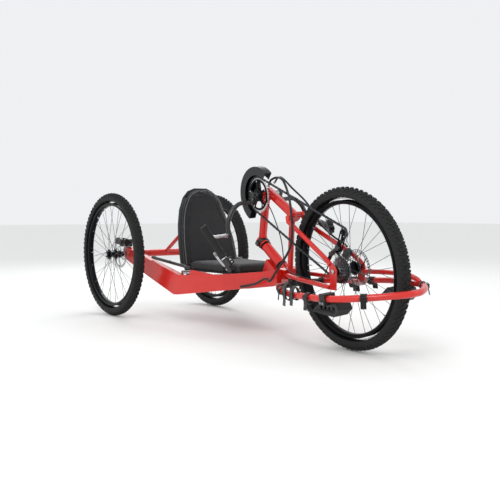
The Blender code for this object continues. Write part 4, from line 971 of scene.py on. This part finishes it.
# %% Cranks
THROW, HANDLE_OFFSET, HANDLE_TILT = 0.179, 0.337, math.radians(23.6)
foot = CRANK.z - THROW
for side_name, side in (("right", -1), ("left", 1)):
    path = [Vector((CRANK.x, side * a, CRANK.z - b)) for a, b in
            ((0.0820, 0.004), (0.0825, 0.020), (0.0940, 0.033), (0.1250, 0.033), (0.1650, 0.036),
             (0.2020, 0.062),
             (0.2240, 0.094), (0.2360, 0.134), (0.2355, THROW + 0.001))]
    arm = Shape().sweep(curve_through(path, 6), 0.011, sides=24)
    arm.spin([(0.0005, 0.0700), (0.0165, 0.0700), (0.0172, 0.0720), (0.0172, 0.0865), (0.0150, 0.0885),
              (0.0090, 0.0885), (0.0085, 0.0860), (0.0005, 0.0860)], CRANK, ACROSS * side, sides=40)
    arm.spin([(0.0005, 0.2270), (0.0135, 0.2270), (0.0145, 0.2290), (0.0145, 0.2430), (0.0130, 0.2450),
              (0.0005, 0.2450)], CRANK - Vector((0, 0, THROW)), ACROSS * side, sides=32)
    piece("crank_" + side_name, arm, BLACK_COAT, "crank", "black_alloy",
          stands_for=("crank_arm_" + side_name,),
          sharp=35)
    pin = Shape().spin([(0.0005, 0.2440), (0.0098, 0.2440), (0.0098, 0.2560), (0.0080, 0.2570),
                        (0.0080, 0.3420),
                        (0.0065, 0.3450), (0.0005, 0.3450)], CRANK - Vector((0, 0, THROW)), ACROSS * side,
                       sides=32)
    piece("handle_pin_" + side_name, pin, POLISHED, "crank", "steel", sharp=35)
axle = Shape().spin([(0.0005, -0.0690), (0.0148, -0.0690), (0.0148, 0.0690), (0.0005, 0.0690)], CRANK,
                    sides=32)
piece("crank_axle", axle, STAINLESS, "crank", "steel", sharp=35)
print("cranks", THROW * 1000, "mm")

# %% Grips, pods and levers
for side_name, side, turn in (("right", -1, -17), ("left", 1, -85)):
    centre = Vector((CRANK.x, side * HANDLE_OFFSET, foot))
    held = ON_FORK @ Matrix.Translation(centre) @ Matrix.Rotation(math.radians(turn), 4, "Y")
    down = Vector((0, -side * math.sin(HANDLE_TILT), -math.cos(HANDLE_TILT)))
    back = Vector((-1, 0, 0))
    wide = down.cross(back)
    profile = [(0.0004, -0.0640), (0.0130, -0.0640), (0.0165, -0.0620), (0.0175, -0.0590),
               (0.0175, -0.0560)]
    ribs = 26
    for k in range(ribs):
        start = -0.0550 + 0.0060 * k
        profile += [(0.0157, start), (0.0157, start + 0.0018), (0.0172, start + 0.0026),
                    (0.0172, start + 0.0052)]
    profile = [p for p in profile if p[1] < 0.1010]
    profile += [(0.0178, 0.1015), (0.0178, 0.1060), (0.0120, 0.1080), (0.0004, 0.1080)]
    piece("grip_sleeve_" + side_name, Shape().spin(profile, (0, 0, 0), down, sides=40), GRIP,
          "handle_" + side_name,
          "hose_rubber", place=held, stands_for=("grip_" + side_name,), sharp=35)
    bar = Shape().spin([(0.0004, 0.1070), (0.0112, 0.1070), (0.0112, 0.1950), (0.0095, 0.1985),
                        (0.0004, 0.1985)],
                       (0, 0, 0), down, sides=32)
    piece("handle_bar_" + side_name, bar, ANODISED, "handle_" + side_name, "black_alloy", place=held,
          sharp=35)
    pod = Shape().block(down * 0.140 + back * -0.0150, back * 0.0240, wide * 0.0160, down * 0.0175)
    pod.block(down * 0.168 + back * 0.0045, back * 0.0190, wide * 0.0130, down * 0.0175)
    piece("control_pod_" + side_name, pod, NYLON, "handle_" + side_name, "black_plastic", place=held,
          bevel=0.0045,
          sharp=35)
    trim = Shape()
    for s, b, w, r in ((0.133, -0.040, 0, 0.0050), (0.147, -0.040, 0, 0.0040)):
        trim.spin([(0.0004, 0), (r, 0), (r, 0.0030), (r - 0.0010, 0.0042), (0.0004, 0.0042)],
                  down * s + back * (b + 0.0020) + wide * w, -back, sides=20)
    for w in (-1, 1):
        trim.spin([(0.0004, 0), (0.0050, 0), (0.0050, 0.0016), (0.0036, 0.0026), (0.0004, 0.0026)],
                  down * 0.168 + back * 0.0150 + wide * w * 0.0128, wide * w, sides=20)
    trim.spin([(0.0113, 0.1120), (0.0140, 0.1125), (0.0140, 0.1185), (0.0113, 0.1190)], (0, 0, 0), down,
              sides=32)
    piece("pod_buttons_" + side_name, trim, POLISHED, "handle_" + side_name, "lever_alloy", place=held,
          sharp=35)

    pivot = down * 0.168 + back * 0.0250
    points = [Vector((a, b, 0)) for a, b in ((0.008, 0.004), (-0.008, 0.004), (-0.030, 0.016),
                                             (-0.070, 0.023),
                                             (-0.098, 0.022))]
    path = [pivot + down * p.x + back * p.y for p in curve_through(points, 6)]
    count = len(path) - 1
    widths = [0.0062 - 0.0016 * math.sin(math.pi * k / count)
              + (0.0006 if k > count - 3 else 0) for k in range(count + 1)]
    blade = Shape().sweep(path, widths, flat=0.0026, up=back)
    piece("lever_" + side_name, blade, POLISHED, "lever_" + side_name, "lever_alloy", place=held,
          stands_for=("brake_lever_" + side_name,), bevel=0.0014, sharp=35)
print("two grips, two pods, two levers")

# %% [markdown]
# ## Heel cradles
# Each heel sits in a moulded cradle, drilled to shed mud. The design's solid is copied, and cylinders are
# cut from its floor and its outer wall.

# %% Heel cradles
def bake(made):
    """Applies a piece's modifiers to its own mesh."""
    graph = bpy.context.evaluated_depsgraph_get()
    mesh = bpy.data.meshes.new_from_object(made.evaluated_get(graph))
    made.modifiers.clear()
    made.data = mesh
    return made


for side_name, side in (("right", -1), ("left", 1)):
    drills = Shape()
    for k in range(4):
        for y in (0.168, 0.1875, 0.207):
            drills.spin([(0.0001, -0.03), (0.0062, -0.03), (0.0062, 0.03), (0.0001, 0.03)],
                        (1.656 + 0.026 * k, side * y, 0.212), (0, 0, 1), sides=16)
        drills.spin([(0.0001, -0.02), (0.0085, -0.02), (0.0085, 0.02), (0.0001, 0.02)],
                    (1.672 + 0.025 * k, side * 0.2225, 0.236), ACROSS, sides=20)
    mesh = drills.mesh("drills", ON_FORK)
    shade(mesh, 40)
    cutter = placed("drills", mesh)
    cradle = refined("footrest_" + side_name, NYLON, "black_plastic", bevel=0)
    drill = cradle.modifiers.new("drill", "BOOLEAN")
    drill.operation = "DIFFERENCE"
    drill.object = cutter
    bpy.context.view_layer.update()
    bake(cradle)
    bpy.data.objects.remove(cutter)
    bolt = Shape()
    for x in (1.704, 1.720):
        bolt.spin([(0.0020, 0.2540), (0.0055, 0.2540), (0.0055, 0.2575), (0.0045, 0.2585), (0.0025, 0.2585),
                   (0.0020, 0.2560)], (x, 0, 0.262), ACROSS * side, sides=16)
    piece("cradle_bolts_" + side_name, bolt, STAINLESS, "fork", "steel", sharp=35)
print("heel cradles drilled")

# %% [markdown]
# ## Cushions
# A cushion is foam pulled tight inside sewn cloth, so its faces crown and its sides pull in. The design's
# plain solid is shrunk, remeshed, and blown up a little as cloth under pressure. Nothing may move more than
# a cap. Piping is then laid on the finished surface, because a remesh would rub it out.

# %% Cushions
from mathutils.bvhtree import BVHTree

CLOTH_PRESSURE = 4
CLOTH_STEPS = 20


def stuffed(name, node, cap, shrink, voxel=0.006):
    """A padded piece grown from a plain design solid."""
    bm = design_solid(node)
    bmesh.ops.recalc_face_normals(bm, faces=bm.faces)
    bm.normal_update()
    for vert in bm.verts:
        vert.co -= vert.normal * shrink
    mesh = bpy.data.meshes.new(name)
    bm.to_mesh(mesh)
    bm.free()
    made = placed(name, mesh)
    grid = made.modifiers.new("grid", "REMESH")
    grid.mode = "VOXEL"
    grid.voxel_size = voxel
    ease = made.modifiers.new("ease", "SMOOTH")
    ease.iterations = 4
    bake(made)
    rest = [v.co.copy() for v in made.data.vertices]
    cloth = made.modifiers.new("cloth", "CLOTH")
    cloth.settings.use_pressure = True
    cloth.settings.uniform_pressure_force = CLOTH_PRESSURE
    cloth.settings.effector_weights.gravity = 0
    cloth.settings.quality = 5
    cloth.point_cache.frame_end = CLOTH_STEPS
    scene = bpy.context.scene
    for number in range(1, CLOTH_STEPS + 1):
        scene.frame_set(number)
    bake(made)
    for vert, start in zip(made.data.vertices, rest):
        move = vert.co - start
        if move.length > cap:
            vert.co = start + move.normalized() * cap
    scene.frame_set(1)
    finer = made.modifiers.new("finer", "SUBSURF")
    finer.levels = finer.render_levels = 1
    bake(made)
    return made


def finish_padded(made, material, body, node):
    mesh = made.data
    name = made.name
    bpy.data.objects.remove(made)
    made = show(name, mesh, material, body, "seat_cloth", stands_for=(node,), sharp=75)
    return made


def on_surface(tree, points, lift):
    """Each point moved to the nearest spot of a surface and lifted off it."""
    laid = []
    for p in points:
        spot, normal, _, _ = tree.find_nearest(p)
        laid.append(spot + normal * lift)
    return laid


def cord_on(name, made, points, radius, body, material=PIPING, slot="seat_cloth"):
    tree = BVHTree.FromPolygons([v.co.copy() for v in made.data.vertices],
                                [tuple(f.vertices) for f in made.data.polygons])
    dense = [ON_FRAME @ p for p in curve_through(points, 10)]
    piping = Shape().sweep(on_surface(tree, dense, radius * 0.4), radius, sides=10)
    return piece(name, piping, material, body, slot, place=Matrix.Identity(4))


BACK_STATIONS = ((0.310, 0.523, 0.190), (0.430, 0.496, 0.188), (0.530, 0.466, 0.172), (0.612, 0.444, 0.150),
                 (0.680, 0.437, 0.122), (0.716, 0.436, 0.090), (0.733, 0.437, 0.050))
back_pad = stuffed("backrest_cushion", "backrest_pad", 0.008, 0.006)
back_pad = finish_padded(back_pad, CLOTH, "backrest", "backrest_pad")
for label, inset in (("edge", 0.012), ("panel", 0.052)):
    right = [Vector((x, -(half - inset), z - (inset * 0.6 if z > 0.6 else 0))) for z, x,
             half in BACK_STATIONS[:-1]]
    top = [Vector((0.437, 0, 0.733 - inset * 0.8))]
    left = [Vector((p.x, -p.y, p.z)) for p in reversed(right)]
    cord_on("backrest_piping_" + label, back_pad, right + top + left, 0.0018, "backrest",
            PIPING if label == "edge" else CLOTH)
SEAT_OUTLINE = ((0.556, -0.190), (0.845, -0.172), (0.885, -0.125), (0.930, -0.118),
                (0.930, 0.118), (0.885, 0.125), (0.845, 0.172), (0.556, 0.190))
seat_pad = stuffed("seat_cushion_cover", "seat_cushion", 0.007, 0.005)
seat_pad = finish_padded(seat_pad, CLOTH, "frame", "seat_cushion")
rim_line = [Vector((x - 0.010 if x > 0.6 else x + 0.010, y * 0.95, 0.334)) for x, y in SEAT_OUTLINE]
cord_on("seat_piping", seat_pad, rim_line + [rim_line[0]], 0.0020, "frame", CLOTH)
print("two cushions, three cords of piping")

# %% [markdown]
# ## Brake hoses and the shift cable
# The long hose is drawn from points on the fork to points on the frame, so it is one piece that bends across
# the steering joint at rest, on neither body. The long hose, the front hose and the shift housing each end in a
# crimped ferrule.

# %% Hoses
HOSE_LOOP = ((1.062, -0.014, 0.727), (1.082, -0.018, 0.748), (1.116, -0.030, 0.760), (1.194, -0.050, 0.768),
             (1.252, -0.060, 0.745), (1.302, -0.072, 0.663), (1.325, -0.084, 0.550), (1.323, -0.092, 0.483),
             (1.316, -0.104, 0.438), (1.290, -0.128, 0.384), (1.255, -0.143, 0.338))
HOSE_TAIL = ((1.172, -0.152, 0.290), (1.100, -0.150, 0.262), (1.040, -0.1490, 0.247),
             (0.985, -0.1600, 0.236))
HOSE_FLEX = 0.055
FRONT_HOSE = ((1.072, 0.014, 0.742), (1.124, 0.016, 0.768), (1.213, 0.020, 0.708), (1.280, 0.030, 0.655),
              (1.312, 0.046, 0.605), (1.345, 0.055, 0.550), (1.420, 0.064, 0.492), (1.488, 0.070, 0.457),
              (1.518, 0.060, 0.4505), (1.532, 0.053, 0.4460))
SHIFT_CABLE = ((1.050, -0.034, 0.668), (1.099, -0.035, 0.614), (1.138, -0.035, 0.542),
               (1.169, -0.038, 0.472),
               (1.180, -0.040, 0.401), (1.190, -0.045, 0.357), (1.224, -0.0520, 0.3345),
               (1.300, -0.0665, 0.3190),
               (1.450, -0.0745, 0.3090), (1.505, -0.0730, 0.325), (1.530, -0.0640, 0.365),
               (1.5405, -0.0600, 0.4005))
ahead = (Vector(HOSE_LOOP[-1]) - Vector(HOSE_LOOP[-2])).normalized()
rear_end = ON_FORK @ (Vector(HOSE_LOOP[-1]) + ahead * HOSE_FLEX)
route = [ON_FORK @ Vector(p) for p in HOSE_LOOP] + [rear_end] + [ON_FRAME @ Vector(p) for p in HOSE_TAIL]
hose = Shape().sweep(curve_through(route, 10), 0.0055, sides=16)
mesh = hose.mesh("long_brake_hose", Matrix.Identity(4))
shade(mesh, 50)
mesh.materials.append(HOSE)
long_hose = placed("long_brake_hose", mesh)
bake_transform(long_hose)
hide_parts("brake_hose_front_half", "brake_hose_rear_half")
for name, node, points, radius in (("front_hose", "front_brake_hose", FRONT_HOSE, 0.0045),
                                   ("shift_housing", "shift_cable", SHIFT_CABLE, 0.0025)):
    piece(name, Shape().sweep(curve_through(points, 10), radius, sides=14), HOSE, "fork", "hose_rubber",
          stands_for=(node,), sharp=50)
ferrules = Shape()
for points, radius in ((HOSE_LOOP, 0.0055), (FRONT_HOSE, 0.0045), (SHIFT_CABLE, 0.0025)):
    start, way = Vector(points[0]), (Vector(points[1]) - Vector(points[0])).normalized()
    ferrules.spin([(radius, 0), (radius + 0.0010, 0.0005), (radius + 0.0010, 0.012), (radius, 0.0125)],
                  start, way,
                  sides=20)
piece("hose_ferrules", ferrules, POLISHED, "fork", "steel", sharp=35)
for side_name, side in (("right", -1), ("left", 1)):
    line = [Vector((x, side * y, z)) for x, y, z in
            ((0.020, 0.300, 0.449), (0.070, 0.288, 0.440), (0.118, 0.248, 0.400), (0.170, 0.2180, 0.352),
             (0.300, 0.2120, 0.300), (0.450, 0.2100, 0.250), (0.520, 0.2080, 0.232))]
    piece("rear_hose_" + side_name, Shape().sweep(curve_through(line, 10), 0.0028, sides=12), HOSE, "frame",
          "hose_rubber", place=ON_FRAME, sharp=50)
print("hoses made")

# %% [markdown]
# ## Straps
# Nylon webbing with hook-and-loop ends holds the legs. Each strap is a flat band led round the rail, with a
# loose tail. Webbing is thin and edge-on it vanishes, so the band has its real 1.8 mm.

# %% Straps
def rail_at(x, side):
    """The rail's centre and direction at a distance along the machine."""
    line = [p for p in rail_line if p.y * side > 0]
    best = min(range(1, len(line) - 1), key=lambda k: abs(line[k].x - x))
    return line[best], (line[best + 1] - line[best - 1]).normalized()


def wrap(shape, centre, way, width, high, low, out=0.0165):
    """A band round the rail: an oval from low to high, across the rail's own direction."""
    up = Vector((0, 0, 1))
    sideways = way.cross(up).normalized()
    path = []
    for k in range(28):
        a = 2 * math.pi * k / 28
        rise = high if math.sin(a) > 0 else low
        path.append(centre + sideways * math.cos(a) * out + up * math.sin(a) * rise)
    shape.sweep(path, width / 2, around=True, flat=0.0009, up=sideways)


straps, buckles = Shape(), Shape()
for side, x, width, high, low in ((-1, 1.335, 0.022, 0.017, 0.017), (-1, 1.420, 0.038, 0.050, 0.030),
                                  (-1, 1.500, 0.030, 0.036, 0.020), (-1, 1.610, 0.025, 0.018, 0.030),
                                  (-1, 1.860, 0.025, 0.017, 0.017), (1, 1.400, 0.038, 0.017, 0.034),
                                  (1, 1.500, 0.030, 0.017, 0.020), (1, 1.860, 0.025, 0.017, 0.017)):
    centre, way = rail_at(x, side)
    wrap(straps, centre, way, width, high, low)
    sideways = way.cross(Vector((0, 0, 1))).normalized() * (1 if way.cross(Vector((0, 0,
                                                                                   1))).y * side > 0 else -1)
    tail = [centre + sideways * 0.0180 + Vector((0, 0, high * 0.7)),
            centre + sideways * 0.0205 + Vector((0, 0, 0.2 * high)),
            centre + sideways * 0.0200 + Vector((0, 0, -low * 0.8)),
            centre + sideways * 0.0235 + Vector((0, 0, -low - 0.022))]
    straps.sweep(curve_through(tail, 5), width / 2 * 0.92, flat=0.0009, up=sideways)
    ring_path = [centre + sideways * 0.0215 + way * a + Vector((0, 0, b)) for a, b in
                 ((-width * 0.62, -0.007), (width * 0.62, -0.007), (width * 0.62, 0.007),
                  (-width * 0.62, 0.007))]
    buckles.sweep(ring_path, 0.0018, sides=8, around=True)
piece("leg_straps", straps, WEBBING, "fork", "seat_cloth", sharp=50)
piece("strap_rings", buckles, NYLON, "fork", "black_plastic", sharp=50)
print("straps made")

# %% [markdown]
# ## Fasteners
# Socket-head screws hold the clamps and calipers. Each is a small turned head with a sunk hexagon, and all
# on one body are one piece.

# %% Fasteners
def screw(shape, point, way, radius=0.0040):
    way = Vector(way).normalized()
    point = Vector(point)
    shape.spin([(radius * 0.5, 0.0010), (radius, 0.0), (radius, 0.0032), (radius * 0.85, 0.0040),
                (radius * 0.5, 0.0040)], point, way, sides=24)
    shape.spin([(0.0001, 0.0008), (radius * 0.52, 0.0008), (radius * 0.52, 0.0014), (0.0001, 0.0014)],
               point, way,
               sides=6)


frame_screws, fork_screws = Shape(), Shape()
for side in (-1, 1):
    for x in (-0.016, 0.020):
        screw(frame_screws, (x, side * 0.3185, 0.437), ACROSS * side)
    for x, z in ((0.290, 0.3450), (0.450, 0.3280), (0.610, 0.3110)):
        screw(frame_screws, (x, side * 0.240, z + 0.0085), (0, 0, 1), 0.0050)
for along in (0.092, 0.103):
    screw(fork_screws, STEER_DRAWN + AXIS_DRAWN * along + Vector((0, -0.0400, 0)), -ACROSS, 0.0035)
for x in (1.535, 1.552):
    screw(fork_screws, (x, 0.0605, x - 1.535 + 0.405), ACROSS, 0.0036)
piece("frame_screws", frame_screws, STAINLESS, "frame", "steel", place=ON_FRAME, sharp=35)
piece("fork_screws", fork_screws, STAINLESS, "fork", "steel", sharp=35)
print("screws made")

# %% [markdown]
# ## Sizes
# The finished surfaces should fill the design's own box, so the finished box's size is printed.

# %% Print the sizes and finish
bpy.context.view_layer.update()
low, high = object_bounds()
print("visual box", [round(b - a, 3) for a, b in zip(low, high)])
